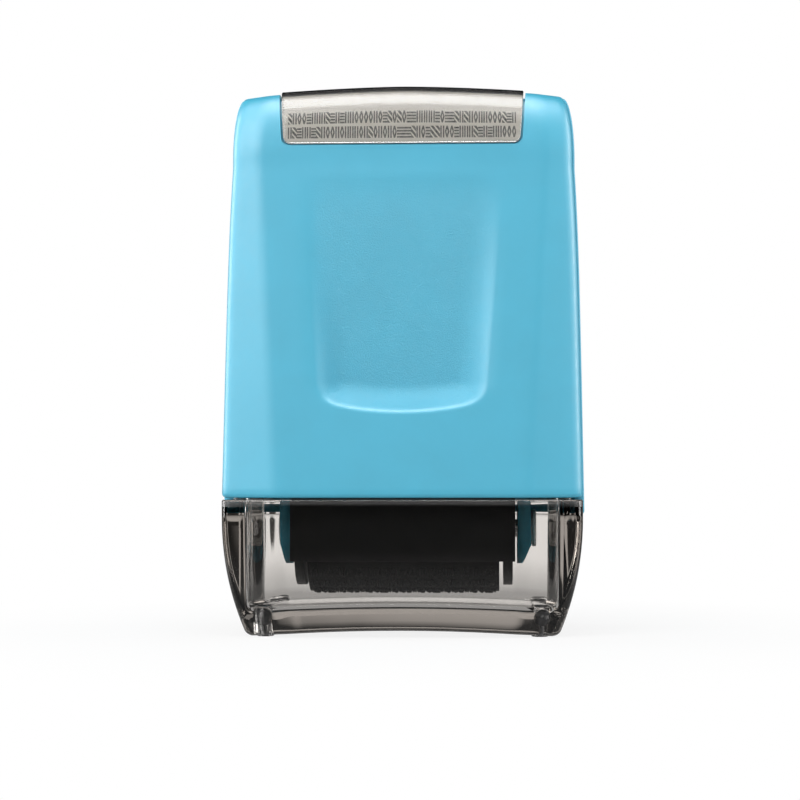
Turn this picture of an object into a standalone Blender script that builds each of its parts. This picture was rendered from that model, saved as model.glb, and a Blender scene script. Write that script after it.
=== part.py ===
"""Privacy roller stamp: a handle with a self-inking print roller, standing in its smoky cap.

Sizes are in millimetres and become metres as each mesh is made. +Z is up, +X is to the right seen
from the front, and the front face looks towards -Y. The origin is on the floor, under the middle of
the cap.
"""

import math

import bmesh
import bpy
from mathutils import Matrix, Vector

MM = 0.001
GAP = 0.25  # clearance between pieces that touch
SMOOTH_ANGLE = 32.0  # degrees, above which an edge stays sharp

# Casing: two shells that meet at a parting plane
HALF_WIDTH = 30.0  # front shell at its lower edge
HALF_DEPTH = 20.0
FRONT_LOW_Z = 23.1
REAR_LOW_Z = 20.1
REAR_GROW = 0.55  # how much further out the rear shell's sides stand
PARTING_Y = -8.0
SHELL_WALL = 1.6
SIDE_TAPER = 0.0165  # how much each side draws in per mm of height
SIDE_CROWN = 0.73  # extra draw-in at CROWN_SPAN above the lower edge
CROWN_SPAN = 60.0
CROWN_POWER = 5
FACE_TAPER = 0.085
TOP_Z = 92.2
TOP_DROP = 0.83  # how much the crowned top falls at TOP_DROP_X from the middle
TOP_DROP_X = 19.5
TOP_DROP_POWER = 1.6
TOP_ROUND_X = (1.9, 10.0)  # how far in and how far down the sides round off
TOP_ROUND_Y = 4.6  # the same for the front and the rear
TOP_ROUND_Z = 12.0
FACET_X = 20.9  # where the flat face turns into the side facet, at the lower edge
FACET_SPREAD = 0.055
FACET_SLOPE = 0.32
CORNER_TANGENT = 1.8
CORNER_MARGIN = 0.5  # least flat between a corner's round and the end of the side
CORNER_STEPS = 4
FACE_ROWS = (29.0, 34.0, 36.0, 37.2, 38.2, 39.2, 40.2, 41.2, 42.6, 47.0, 53.0, 59.0, 65.0, 71.0, 77.0, 81.5)
TOP_ANGLES = (0, 18, 34, 48, 59, 69, 79, 90)

# Thumb recess, in the front and the rear face
RECESS_LOW_Z = 37.0
RECESS_ARC = 1.8  # how much higher the lower edge is at its ends
RECESS_TOP_Z = 77.0
RECESS_HALF_LOW = 14.0
RECESS_SPREAD = 0.085
RECESS_WALL = 5.6
WALL_COLUMNS = 5
RECESS_WALL_HEIGHT = 4.8
RECESS_DEEP = 3.0
RECESS_DISH = 0.22
RECESS_EDGE = 0.12  # share of the wall over which its outer edge is rounded
RECESS_SQUARE = 3.6  # 2 makes its lower corners fully round

# Label groove, plate and window, wrapped over the top
LABEL_LOW_Z = 82.45
LABEL_HALF_LOW = 19.8
LABEL_SPREAD = 0.07
GROOVE_BAND = (-1.0, 3.0)  # offsets from the casing's surface, as for the two below
GROOVE_MARGIN = 0.35
PLATE_BAND = (-0.8, -0.6)
WINDOW_BAND = (-0.4, 0.35)
BAND_COLUMNS = 8
BAND_STEPS = 8

# Cap
CAP_HALF_WIDTH = 30.05
CAP_HALF_DEPTH = 19.9
CAP_TUCK_X = 4.0  # how much the sides curve in by the bottom
CAP_TUCK_Y = 2.6
CAP_TUCK_POWER = 2.1
CAP_CURVE_Z = 20.0
CAP_EDGE_Z = 22.8
CAP_WALL = 3.1
CAVITY_HALF_WIDTH = 25.9
CAVITY_DRAFT = 0.01
CAVITY_TANGENT = 0.6
CAP_FOOT_ROUND = ((0.0, 0.9), (0.25, 0.3))  # (height, inset) of the outside's lowest rings
CAP_LEVELS = (0.9, 3.0, 6.0, 9.5, 13.5, 18.0)
CAVITY_FOOT_ROUND = ((4.2, 1.6), (4.7, 0.5))  # the same for the inside
CAVITY_LEVELS = (5.8, 8.5, 12.0, 16.0, 20.0)
CAP_FACE_XS = (0.0, 7.0, 14.0)
CAP_ARCH = 1.0
CAP_ARCH_X = 25.0
CAP_LIFT = 0.1
NECK_TOP_Z = 30.0
NECK_INSET = SHELL_WALL + GAP
NECK_ROOT = 8.0  # how far the neck reaches down into the cap's wall
FACET_SHIFT = 1 / 6  # how far the facet's edge moves in for each mm that the wall is inset
FOOT_X = 22.9
FOOT_Y = 13.2
FOOT_RADIUS = 1.6
FOOT_TOP_Z = 5.4

# Print roller
AXLE_Z = 17.7
AXLE_RADIUS = 1.5
AXLE_HALF = 21.2
AXLE_CHAMFER = 0.3
SLEEVE_RADIUS = 11.0
SLEEVE_WALL = 0.8
SLEEVE_HALF = 16.2
CUSHION_WALL = 1.6
CORE_WALL = 1.3
HUB_DEPTH = 3.0
HUB_BOSS_RADIUS = 3.4
HUB_DISC = 1.6
ROLLER_SEGMENTS = 48

# Cartridge frame
FRAME_HALF = 18.85
FRAME_WALL = 0.9
FRAME_END_WALL = 1.0
FRAME_BORE_GAP = 0.4
FRAME_HALF_DEPTH = 12.4
FRAME_LOW_Z = 12.5
FRAME_SHOULDER_Z = 30.0
FRAME_UPPER_HALF_DEPTH = 7.0
FRAME_TOP_Z = 45.0
END_PLATE_IN = 16.9
END_PLATE_OUT = 18.5
END_PLATE_RADIUS = 9.6

# Ink roller
INK_RADIUS = 4.5
INK_HALF = 14.8
INK_CORE_RADIUS = 2.2
INK_AXLE_RADIUS = 1.0
INK_AXLE_HALF = 17.2
INK_AXLE_Z = AXLE_Z + SLEEVE_RADIUS + INK_RADIUS + 0.3
INK_BLOCK_X = (15.3, 17.5)
INK_BLOCK_HALF = 2.2
INK_TONGUE_OUT = 18.6
INK_TONGUE_HALF = 1.2
INK_TONGUE_LOWER = 0.4  # how much lower the tongue is than its block, above and below
INK_SLOT_Z = (30.3, 37.8)
SPRING_X = 16.4
SPRING_RADIUS = 1.0
SPRING_WIRE = 0.25
SPRING_TURNS = 5
SPRING_STEPS = 10  # steps along each turn
SPRING_SIDES = 6
PLUG_RADIUS = 1.45
PLUG_DEPTH = 3.0
PLUG_HEAD_RADIUS = 2.6
PLUG_HEAD = 1.4
PLUG_HEAD_CHAMFER = 0.5
PLUG_ACCESS_RADIUS = 3.6

# Chassis
ARM_IN = 19.35
ARM_OUT = 21.6
ARM_HALF_DEPTH = 6.0
ARM_STEPS = 16
TIP_Z = 15.0  # where the outer face of an arm starts to slant in
TIP_ANGLE = 16.0
BRIDGE_Z = (45.4, 48.4)
BRIDGE_HALF_DEPTH = 9.0
SPINE_HALF = 16.0
SPINE_Y = (2.0, 4.5)
SPINE_TOP_Z = 76.0
SCREW_X = 11.0
SCREW_Z = 66.0
SCREW_RADIUS = 1.0
SCREW_HEAD_RADIUS = 2.2
SCREW_HEAD = 1.4
SCREW_HEAD_CHAMFER = (0.5, 0.7)  # along the screw, and across it
SCREW_END_Y = 10.5
SCREW_POINT = 1.0
POST_RADIUS = 2.6
BUSH_RADIUS = 2.6
BUSH_FLANGE_RADIUS = 3.1
BUSH_FLANGE = 0.4

# Snap lugs of the front shell, behind the rear shell's edge
LUG_Z = (44.0, 68.0)
LUG_HEIGHT = 5.0
LUG_Y = (-13.0, -4.5)
LUG_THICK = 1.5
LUG_BITE = 0.25  # how deep a lug sits in the wall that carries it

BLUE = ("blue_plastic", (0.105, 0.475, 0.67), 0.42, 0.0)
TEAL = ("teal_plastic", (0.022, 0.18, 0.25), 0.45, 0.0)
SILVER = ("silver_label", (0.55, 0.53, 0.5), 0.3, 0.85)
CLEAR = ("clear_lens", (0.9, 0.92, 0.92), 0.05, 0.0)
SMOKE = ("smoky_plastic", (0.3, 0.28, 0.27), 0.06, 0.0)
BLACK = ("black_plastic", (0.01, 0.01, 0.0105), 0.4, 0.0)
RUBBER = ("print_rubber", (0.014, 0.013, 0.013), 0.6, 0.0)
CUSHION = ("cushion_foam", (0.12, 0.12, 0.125), 0.9, 0.0)
FOAM = ("ink_foam", (0.02, 0.02, 0.024), 0.95, 0.0)
STEEL = ("steel", (0.6, 0.6, 0.61), 0.25, 1.0)
WHITE = ("white_plastic", (0.78, 0.78, 0.76), 0.4, 0.0)


def clear_scene():
    for obj in list(bpy.data.objects):
        bpy.data.objects.remove(obj, do_unlink=True)


def material_of(look):
    """The Principled material of a (name, colour, roughness, metallic) look."""
    name, colour, roughness, metallic = look
    material = bpy.data.materials.get(name)
    if material:
        return material
    material = bpy.data.materials.new(name)
    material.use_nodes = True
    shader = material.node_tree.nodes["Principled BSDF"]
    shader.inputs["Base Color"].default_value = (*colour, 1.0)
    shader.inputs["Roughness"].default_value = roughness
    shader.inputs["Metallic"].default_value = metallic
    material.diffuse_color = (*colour, 1.0)
    return material


def axis_empty(name, height):
    """An empty on the X axis line of a group of pieces, at this height."""
    empty = bpy.data.objects.new(name, None)
    empty.location = (0.0, 0.0, height * MM)
    bpy.context.scene.collection.objects.link(empty)
    return empty


def add_object(name, bm, parent=None):
    """Turns a mesh in millimetres into an object in metres, measured from its parent's place."""
    if parent:
        bmesh.ops.translate(bm, verts=bm.verts, vec=-parent.location / MM)
    bmesh.ops.scale(bm, verts=bm.verts, vec=(MM, MM, MM))
    mesh = bpy.data.meshes.new(name)
    bm.to_mesh(mesh)
    bm.free()
    obj = bpy.data.objects.new(name, mesh)
    obj.parent = parent
    bpy.context.scene.collection.objects.link(obj)
    return obj


def add_piece(name, bm, look, parent=None):
    obj = add_object(name, bm, parent)
    obj.data.materials.append(material_of(look))
    obj.data.shade_smooth()
    obj.data.set_sharp_from_angle(angle=math.radians(SMOOTH_ANGLE))
    return obj


def add_tool(name, bm, parent=None):
    """A shape that only cuts or joins other pieces."""
    obj = add_object(name, bm, parent)
    obj.hide_render = True
    obj.display_type = "WIRE"
    return obj


def combine(obj, tool, operation):
    modifier = obj.modifiers.new(f"{operation.lower()} {tool.name}", "BOOLEAN")
    modifier.object = tool
    modifier.operation = operation
    modifier.solver = "EXACT"


def solid_box(low, high):
    low = Vector(low)
    high = Vector(high)
    bm = bmesh.new()
    place = Matrix.Translation((low + high) / 2) @ Matrix.Diagonal((*(high - low), 1.0))
    bmesh.ops.create_cube(bm, size=1.0, matrix=place)
    return bm


def join_points(bm, points):
    return [bm.verts.new(point) for point in points]


def bridge_rows(bm, lower, upper, closed=False):
    """Quads between two rows of points, facing out where the rows run to the right and go up."""
    count = len(lower)
    for k in range(count if closed else count - 1):
        after = (k + 1) % count
        bm.faces.new((lower[k], lower[after], upper[after], upper[k]))


def turned(outline, segments, axis="X", centre=(0.0, 0.0, 0.0)):
    """A body turned from (along, radius) points: a closed outline, or one that ends on the axis."""
    bm = bmesh.new()
    solid = outline[0][1] == 0
    rings = []
    for along, radius in outline:
        angles = [math.tau * k / segments for k in range(segments if radius else 1)]
        ring = [(along, radius * math.cos(a), radius * math.sin(a)) for a in angles]
        rings.append(join_points(bm, ring))
    pairs = list(zip(rings, rings[1:]))
    if not solid:
        pairs.append((rings[-1], rings[0]))
    for first, second in pairs:
        for k in range(segments):
            corners = [first[k % len(first)], first[(k + 1) % len(first)]]
            corners += [second[(k + 1) % len(second)], second[k % len(second)]]
            bm.faces.new(list(dict.fromkeys(corners)))
    turns = {"X": (0.0, "X"), "Y": (math.pi / 2, "Z"), "Z": (-math.pi / 2, "Y")}
    angle, about = turns[axis]
    place = Matrix.Translation(centre) @ Matrix.Rotation(angle, 4, about)
    bmesh.ops.transform(bm, matrix=place, verts=bm.verts)
    bmesh.ops.recalc_face_normals(bm, faces=bm.faces)
    return bm


def rod(start, end, radius, segments, axis="X", centre=(0.0, 0.0, 0.0)):
    return turned([(start, 0), (start, radius), (end, radius), (end, 0)], segments, axis, centre)


def pipe(start, end, inner, outer, segments, centre=(0.0, 0.0, 0.0)):
    outline = [(start, inner), (start, outer), (end, outer), (end, inner)]
    return turned(outline, segments, "X", centre)


def half_width(z):
    rise = z - FRONT_LOW_Z
    return HALF_WIDTH - SIDE_TAPER * rise - SIDE_CROWN * max(rise / CROWN_SPAN, 0) ** CROWN_POWER


def half_depth(z):
    return HALF_DEPTH - FACE_TAPER * max(z - FRONT_LOW_Z, 0.0)


def facet_start(z):
    return FACET_X + FACET_SPREAD * (z - FRONT_LOW_Z)


def top_height(x):
    return TOP_Z - TOP_DROP * (abs(x) / TOP_DROP_X) ** TOP_DROP_POWER


def recess_half(z):
    return RECESS_HALF_LOW + RECESS_SPREAD * (z - RECESS_LOW_Z)


def bowl(share):
    """Depth of a wall that starts steeply just inside a soft edge and runs out level, both from 0 to 1."""
    eased = math.hypot(min(max(share, 0.0), 1.0), RECESS_EDGE) - RECESS_EDGE
    return math.sin(math.pi / 2 * eased / (math.hypot(1.0, RECESS_EDGE) - RECESS_EDGE))


def recess_depth(x, z):
    """How far the thumb recess sinks below the face: deepest low down, and nothing at its top."""
    half = recess_half(z)
    low_z = RECESS_LOW_Z + RECESS_ARC * (x / RECESS_HALF_LOW) ** 2
    side = max(1 - (half - abs(x)) / RECESS_WALL, 0.0)
    low = max(1 - (z - low_z) / RECESS_WALL_HEIGHT, 0.0)
    wall = bowl(1 - (side**RECESS_SQUARE + low**RECESS_SQUARE) ** (1 / RECESS_SQUARE))
    floor = RECESS_DEEP * max(RECESS_TOP_Z - z, 0.0) / (RECESS_TOP_Z - RECESS_LOW_Z)
    return wall * floor * (1 + RECESS_DISH * (1 - (x / half) ** 2))


def plan_half(width, depth, facet_x, face_xs, side_y, tangent=CORNER_TANGENT):
    """Right half of a plan section from the middle of the face, at y = -depth, round to side_y."""
    corner = Vector((width, FACET_SLOPE * (width - facet_x) - depth))
    along = Vector((1.0, FACET_SLOPE)).normalized()
    tangent = min(tangent, side_y - CORNER_MARGIN - corner.y)
    start = corner - along * tangent
    end = corner + Vector((0.0, tangent))
    bend = Vector((facet_x, -depth))
    points = [Vector((x, -depth)) for x in face_xs]
    points += [bend, (bend + start) / 2]
    for k in range(CORNER_STEPS + 1):
        t = k / CORNER_STEPS
        points.append(start * (1 - t) ** 2 + corner * 2 * t * (1 - t) + end * t * t)
    points.append(Vector((width, side_y)))
    return points


def both_halves(half):
    return [Vector((-p[0], p[1])) for p in reversed(half[1:])] + list(half)


def whole_ring(half):
    """A closed plan ring, alike at the front and the rear, from a half section that ends at y = 0."""
    right = half + [Vector((p[0], -p[1])) for p in reversed(half[:-1])]
    return right + [Vector((-p[0], p[1])) for p in reversed(right[1:-1])]


def casing_rows(low_z, side_y, grow):
    """Rows of points up a casing face and round its top, each from left to right."""
    rows = []
    start_z = top_height(half_width(TOP_Z - TOP_ROUND_Z)) - TOP_ROUND_Z
    levels = [(z, 0.0) for z in (low_z, *FACE_ROWS) if z <= start_z]
    levels += [(start_z, math.radians(angle)) for angle in TOP_ANGLES]
    face_levels = len(levels) - len(TOP_ANGLES)
    for index, (z, angle) in enumerate(levels):
        recess = recess_half(z)
        floor = recess - RECESS_WALL
        face_xs = [0.0, floor / 2, *(floor + RECESS_WALL * k / WALL_COLUMNS for k in range(WALL_COLUMNS + 1))]
        drop = TOP_ROUND_Z * (1 - math.sin(angle))
        side_angle = math.asin(max(1 - drop / TOP_ROUND_X[1], 0.0)) if index >= face_levels else 0.0
        inset = TOP_ROUND_X[0] * (1 - math.cos(side_angle))
        width = half_width(z) + grow - inset
        depth = half_depth(z) - TOP_ROUND_Y * (1 - math.cos(angle))
        row = []
        for x, y in both_halves(plan_half(width, depth, facet_start(z) - inset, face_xs, side_y)):
            if index < face_levels:
                row.append((x, y + recess_depth(x, z), z))
            else:
                row.append((x, y, top_height(x) - drop))
        rows.append(row)
    return rows


def casing_face(low_z, side_y, grow):
    """The open outer surface of one shell, its face towards -Y, closed over the top to side_y."""
    bm = bmesh.new()
    rows = casing_rows(low_z, side_y, grow)
    grid = [join_points(bm, row) for row in rows]
    for lower, upper in zip(grid, grid[1:]):
        bridge_rows(bm, lower, upper)
    rim = grid[-1]
    round_columns = CORNER_STEPS + 2
    front = rim[round_columns:-round_columns]
    back = join_points(bm, [(v.co.x, side_y, top_height(v.co.x)) for v in front])
    bridge_rows(bm, front, back)
    bm.faces.new([*rim[-round_columns - 1 :], back[-1]])
    bm.faces.new([*rim[: round_columns + 1], back[0]])
    return bm


def label_half(z):
    return LABEL_HALF_LOW + LABEL_SPREAD * (z - LABEL_LOW_Z)


def band_path(x, offset, low_z):
    """(y, z) points over the top from the front face's low_z to the rear's, offset from the casing."""
    start_z = top_height(x) - TOP_ROUND_Z
    middle = half_depth(start_z) - TOP_ROUND_Y
    low_angle = math.asin((low_z - start_z) / TOP_ROUND_Z)
    front = []
    for k in range(BAND_STEPS + 1):
        angle = low_angle + (math.pi / 2 - low_angle) * k / BAND_STEPS
        turn = Vector((math.cos(angle), math.sin(angle)))
        out = Vector((TOP_ROUND_Z * turn.x, TOP_ROUND_Y * turn.y)).normalized() * offset
        front.append((-middle - TOP_ROUND_Y * turn.x - out.x, start_z + TOP_ROUND_Z * turn.y + out.y))
    front.append((-middle / 3, top_height(x) + offset))
    return front + [(-y, z) for y, z in reversed(front)]


def band(offsets, margin):
    """A strip that wraps over the top between two offsets from the casing's surface."""
    bm = bmesh.new()
    low_z = LABEL_LOW_Z - margin
    layers = []
    for offset in offsets:
        columns = []
        for k in range(BAND_COLUMNS + 1):
            share = 2 * k / BAND_COLUMNS - 1
            path = band_path(share * LABEL_HALF_LOW, offset, low_z)
            columns.append([(share * (label_half(z) + margin), y, z) for y, z in path])
        layers.append([join_points(bm, column) for column in columns])
    inner, outer = layers
    for layer in layers:
        for left, right in zip(layer, layer[1:]):
            bridge_rows(bm, left, right)
    for edge in (0, -1):
        bridge_rows(bm, inner[edge], outer[edge])
        bridge_rows(bm, [column[edge] for column in inner], [column[edge] for column in outer])
    bmesh.ops.recalc_face_normals(bm, faces=bm.faces)
    return bm


def make_shell(name, low_z, side_y, grow, turn_round, parent):
    bm = casing_face(low_z, side_y, grow)
    if turn_round:
        bmesh.ops.rotate(bm, matrix=Matrix.Rotation(math.pi, 3, "Z"), verts=bm.verts)
    shell = add_piece(name, bm, BLUE, parent)
    wall = shell.modifiers.new("wall", "SOLIDIFY")
    wall.thickness = SHELL_WALL * MM
    wall.offset = -1.0
    wall.use_even_offset = True
    return shell


def make_front_shell(parent, groove):
    shell = make_shell("front_shell", FRONT_LOW_Z, PARTING_Y - GAP / 2, 0.0, False, parent)
    for side in (-1, 1):
        for level, z in enumerate(LUG_Z):
            outer = half_width(z) - SHELL_WALL + LUG_BITE
            xs = sorted((side * outer, side * (outer - LUG_THICK)))
            lug = solid_box((xs[0], LUG_Y[0], z), (xs[1], LUG_Y[1], z + LUG_HEIGHT))
            combine(shell, add_tool(f"lug_{side}_{level}", lug, parent), "UNION")
    combine(shell, groove, "DIFFERENCE")


def make_rear_shell(parent, groove):
    shell = make_shell("rear_shell", REAR_LOW_Z, -PARTING_Y - GAP / 2, REAR_GROW, True, parent)
    wall_y = half_depth(SCREW_Z) - recess_depth(SCREW_X, SCREW_Z) - SHELL_WALL / 2
    for side in (-1, 1):
        place = (side * SCREW_X, 0.0, SCREW_Z)
        post = rod(SPINE_Y[1] + GAP, wall_y, POST_RADIUS, 20, "Y", place)
        combine(shell, add_tool(f"post_{side}", post, parent), "UNION")
        hole = rod(SPINE_Y[1] - 1.0, SCREW_END_Y + GAP, SCREW_RADIUS + GAP, 16, "Y", place)
        combine(shell, add_tool(f"pilot_{side}", hole, parent), "DIFFERENCE")
    combine(shell, groove, "DIFFERENCE")


def make_label(parent):
    add_piece("label_plate", band(PLATE_BAND, 0.0), SILVER, parent)
    add_piece("label_window", band(WINDOW_BAND, 0.0), CLEAR, parent)


def cap_shrink(z):
    """Share of the tuck that the cap's sides have taken at this height."""
    return max(1 - z / CAP_CURVE_Z, 0.0) ** CAP_TUCK_POWER


def cap_ring(z, inset):
    """A whole plan ring of the cap, from the middle of the front round to the right."""
    width = CAP_HALF_WIDTH - CAP_TUCK_X * cap_shrink(z) - inset
    depth = CAP_HALF_DEPTH - CAP_TUCK_Y * cap_shrink(z) - inset
    facet_x = FACET_X - inset * FACET_SHIFT - CAP_TUCK_X * cap_shrink(z) / 2
    tangent = CORNER_TANGENT
    if inset >= CAP_WALL:
        width = CAVITY_HALF_WIDTH - CAVITY_DRAFT * (NECK_TOP_Z - z) + CAP_WALL - inset
        tangent = CAVITY_TANGENT
    return whole_ring(plan_half(width, depth, facet_x, CAP_FACE_XS, 0.0, tangent))


def arch_height(x):
    return CAP_LIFT + CAP_ARCH * max(1 - (x / CAP_ARCH_X) ** 2, 0.0)


def cap_loft(levels):
    """A closed body through rings at (height, inset) levels, which follow the arch low down."""
    bm = bmesh.new()
    rings = []
    for z, inset in levels:
        share = 1 - min(z / CAP_EDGE_Z, 1.0)
        points = [(x, y, z + arch_height(x) * share) for x, y in cap_ring(z, inset)]
        rings.append(join_points(bm, points))
    for lower, upper in zip(rings, rings[1:]):
        bridge_rows(bm, lower, upper, closed=True)
    for ring in (rings[0], rings[-1]):
        half = len(ring) // 2
        last = half // 2 - 2
        for way in (1, -1):
            for k in range(last):
                corners = (ring[way * k], ring[way * (k + 1)])
                bm.faces.new((*corners, ring[way * (half - k - 1)], ring[way * (half - k)]))
            bm.faces.new([ring[way * k] for k in range(last, half - last + 1)])
    bmesh.ops.recalc_face_normals(bm, faces=bm.faces)
    return bm


def neck_loft():
    """The rim that reaches up inside both shells."""
    bm = bmesh.new()
    rings = []
    for z in (CAP_EDGE_Z - NECK_ROOT, CAP_EDGE_Z, NECK_TOP_Z):
        width = half_width(z) - NECK_INSET
        depth = half_depth(z) - NECK_INSET
        facet_x = facet_start(z) - NECK_INSET * FACET_SHIFT
        ring = whole_ring(plan_half(width, depth, facet_x, (0.0,), 0.0))
        rings.append(join_points(bm, [(x, y, z) for x, y in ring]))
    for lower, upper in zip(rings, rings[1:]):
        bridge_rows(bm, lower, upper, closed=True)
    bm.faces.new(rings[0])
    bm.faces.new(rings[-1])
    bmesh.ops.recalc_face_normals(bm, faces=bm.faces)
    return bm


def make_cap():
    outer = [*CAP_FOOT_ROUND, *((z, 0.0) for z in (*CAP_LEVELS, CAP_EDGE_Z))]
    cap = add_piece("cap", cap_loft(outer), SMOKE)
    drop = FRONT_LOW_Z - REAR_LOW_Z
    low = (-HALF_WIDTH * 2, PARTING_Y, CAP_EDGE_Z - drop)
    high = (HALF_WIDTH * 2, HALF_DEPTH * 2, CAP_EDGE_Z * 2)
    combine(cap, add_tool("cap_step", solid_box(low, high)), "DIFFERENCE")
    combine(cap, add_tool("cap_neck", neck_loft()), "UNION")
    inner = [(z, CAP_WALL + inset) for z, inset in CAVITY_FOOT_ROUND]
    inner += [(z, CAP_WALL) for z in (*CAVITY_LEVELS, NECK_TOP_Z + 1.0)]
    combine(cap, add_tool("cap_cavity", cap_loft(inner)), "DIFFERENCE")
    for x in (-FOOT_X, FOOT_X):
        for y in (-FOOT_Y, FOOT_Y):
            foot = rod(0.0, FOOT_TOP_Z, FOOT_RADIUS, 20, "Z", (x, y, 0.0))
            combine(cap, add_tool(f"foot_{x}_{y}", foot), "UNION")


def arm_outline():
    """(y, z) outline of an arm with a round lower end about the axle."""
    points = []
    for k in range(ARM_STEPS + 1):
        angle = math.pi + math.pi * k / ARM_STEPS
        points.append((ARM_HALF_DEPTH * math.cos(angle), AXLE_Z + ARM_HALF_DEPTH * math.sin(angle)))
    return points + [(ARM_HALF_DEPTH, BRIDGE_Z[1]), (-ARM_HALF_DEPTH, BRIDGE_Z[1])]


def extruded(outline, start, end):
    """A (y, z) outline extruded along X."""
    bm = bmesh.new()
    face = bm.faces.new(join_points(bm, [(start, y, z) for y, z in outline]))
    grown = bmesh.ops.extrude_face_region(bm, geom=[face])
    verts = [item for item in grown["geom"] if isinstance(item, bmesh.types.BMVert)]
    bmesh.ops.translate(bm, verts=verts, vec=(end - start, 0.0, 0.0))
    bmesh.ops.recalc_face_normals(bm, faces=bm.faces)
    return bm


def tip_cutter(side):
    """A block whose inner face slants in under an arm's outer face."""
    size = 2 * ARM_HALF_DEPTH
    xs = sorted((0.0, side * size))
    bm = solid_box((xs[0], -size, -size), (xs[1], size, GAP))
    turn = Matrix.Rotation(side * math.radians(TIP_ANGLE), 4, "Y")
    place = Matrix.Translation((side * ARM_OUT, 0.0, TIP_Z)) @ turn
    bmesh.ops.transform(bm, matrix=place, verts=bm.verts)
    return bm


def make_chassis(parent):
    low = (-ARM_OUT, -BRIDGE_HALF_DEPTH, BRIDGE_Z[0])
    high = (ARM_OUT, BRIDGE_HALF_DEPTH, BRIDGE_Z[1])
    chassis = add_piece("chassis", solid_box(low, high), TEAL, parent)
    spine = solid_box((-SPINE_HALF, SPINE_Y[0], BRIDGE_Z[1] - 1.0), (SPINE_HALF, SPINE_Y[1], SPINE_TOP_Z))
    combine(chassis, add_tool("spine", spine, parent), "UNION")
    for side in (-1, 1):
        arm = extruded(arm_outline(), side * ARM_IN, side * (ARM_OUT - 0.01))
        combine(chassis, add_tool(f"arm_{side}", arm, parent), "UNION")
        combine(chassis, add_tool(f"tip_{side}", tip_cutter(side), parent), "DIFFERENCE")
        hole = rod(0.0, 2 * SPINE_Y[1], SCREW_RADIUS + GAP, 16, "Y", (side * SCREW_X, 0.0, SCREW_Z))
        combine(chassis, add_tool(f"screw_hole_{side}", hole, parent), "DIFFERENCE")
    bore = rod(-HALF_WIDTH, HALF_WIDTH, BUSH_RADIUS + GAP, 24, "X", (0.0, 0.0, AXLE_Z))
    combine(chassis, add_tool("arm_bore", bore, parent), "DIFFERENCE")
    access = rod(BRIDGE_Z[0] - 2.0, BRIDGE_Z[1] + 2.0, PLUG_ACCESS_RADIUS, 24, "Z")
    combine(chassis, add_tool("plug_access", access, parent), "DIFFERENCE")


def make_chassis_screws(parent):
    head_y = SPINE_Y[0] - GAP
    head_start = head_y - SCREW_HEAD
    chamfer_y, chamfer = SCREW_HEAD_CHAMFER
    outline = [(head_start, 0), (head_start, SCREW_HEAD_RADIUS - chamfer)]
    outline += [(head_start + chamfer_y, SCREW_HEAD_RADIUS), (head_y, SCREW_HEAD_RADIUS)]
    outline += [(head_y, SCREW_RADIUS), (SCREW_END_Y - SCREW_POINT, SCREW_RADIUS)]
    outline += [(SCREW_END_Y, 0)]
    for side, word in ((-1, "left"), (1, "right")):
        screw = turned(outline, 16, "Y", (side * SCREW_X, 0.0, SCREW_Z))
        add_piece(f"chassis_screw_{word}", screw, STEEL, parent)


def make_cartridge_frame(parent):
    half = FRAME_HALF
    deep = FRAME_HALF_DEPTH
    narrow = FRAME_UPPER_HALF_DEPTH
    lower = solid_box((-half, -deep, FRAME_LOW_Z), (half, deep, FRAME_SHOULDER_Z))
    frame = add_piece("cartridge_frame", lower, BLACK, parent)
    upper = solid_box((-half, -narrow, FRAME_SHOULDER_Z - 2.0), (half, narrow, FRAME_TOP_Z))
    combine(frame, add_tool("frame_upper", upper, parent), "UNION")
    centre = (0.0, 0.0, AXLE_Z)
    for side in (-1, 1):
        plate = rod(side * (END_PLATE_IN - 0.5), side * END_PLATE_OUT, END_PLATE_RADIUS, 40, "X", centre)
        combine(frame, add_tool(f"end_plate_{side}", plate, parent), "UNION")
    deep -= FRAME_WALL
    narrow -= FRAME_WALL
    roof = FRAME_SHOULDER_Z - FRAME_WALL
    roller_room = solid_box((-END_PLATE_IN, -deep, 0.0), (END_PLATE_IN, deep, roof))
    combine(frame, add_tool("roller_room", roller_room, parent), "DIFFERENCE")
    long_half = half - FRAME_END_WALL
    ink_room = solid_box((-long_half, -narrow, roof - 1.0), (long_half, narrow, FRAME_TOP_Z - FRAME_WALL))
    combine(frame, add_tool("ink_room", ink_room, parent), "DIFFERENCE")
    bore = rod(-HALF_WIDTH, HALF_WIDTH, AXLE_RADIUS + FRAME_BORE_GAP, 24, "X", centre)
    combine(frame, add_tool("frame_bore", bore, parent), "DIFFERENCE")
    guide = INK_TONGUE_HALF + GAP
    slot = solid_box((-HALF_WIDTH, -guide, INK_SLOT_Z[0]), (HALF_WIDTH, guide, INK_SLOT_Z[1]))
    combine(frame, add_tool("tongue_slot", slot, parent), "DIFFERENCE")
    filler = rod(FRAME_TOP_Z - 3.0, FRAME_TOP_Z + 3.0, PLUG_RADIUS + GAP, 20, "Z")
    combine(frame, add_tool("filler_hole", filler, parent), "DIFFERENCE")


def make_ink_plug(parent):
    seat = FRAME_TOP_Z + GAP
    top = seat + PLUG_HEAD
    outline = [(seat - PLUG_DEPTH, 0), (seat - PLUG_DEPTH, PLUG_RADIUS), (seat, PLUG_RADIUS)]
    outline += [(seat, PLUG_HEAD_RADIUS), (top - PLUG_HEAD_CHAMFER, PLUG_HEAD_RADIUS)]
    outline += [(top, PLUG_HEAD_RADIUS - PLUG_HEAD_CHAMFER), (top, 0)]
    add_piece("ink_plug", turned(outline, 20, "Z"), RUBBER, parent)


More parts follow.
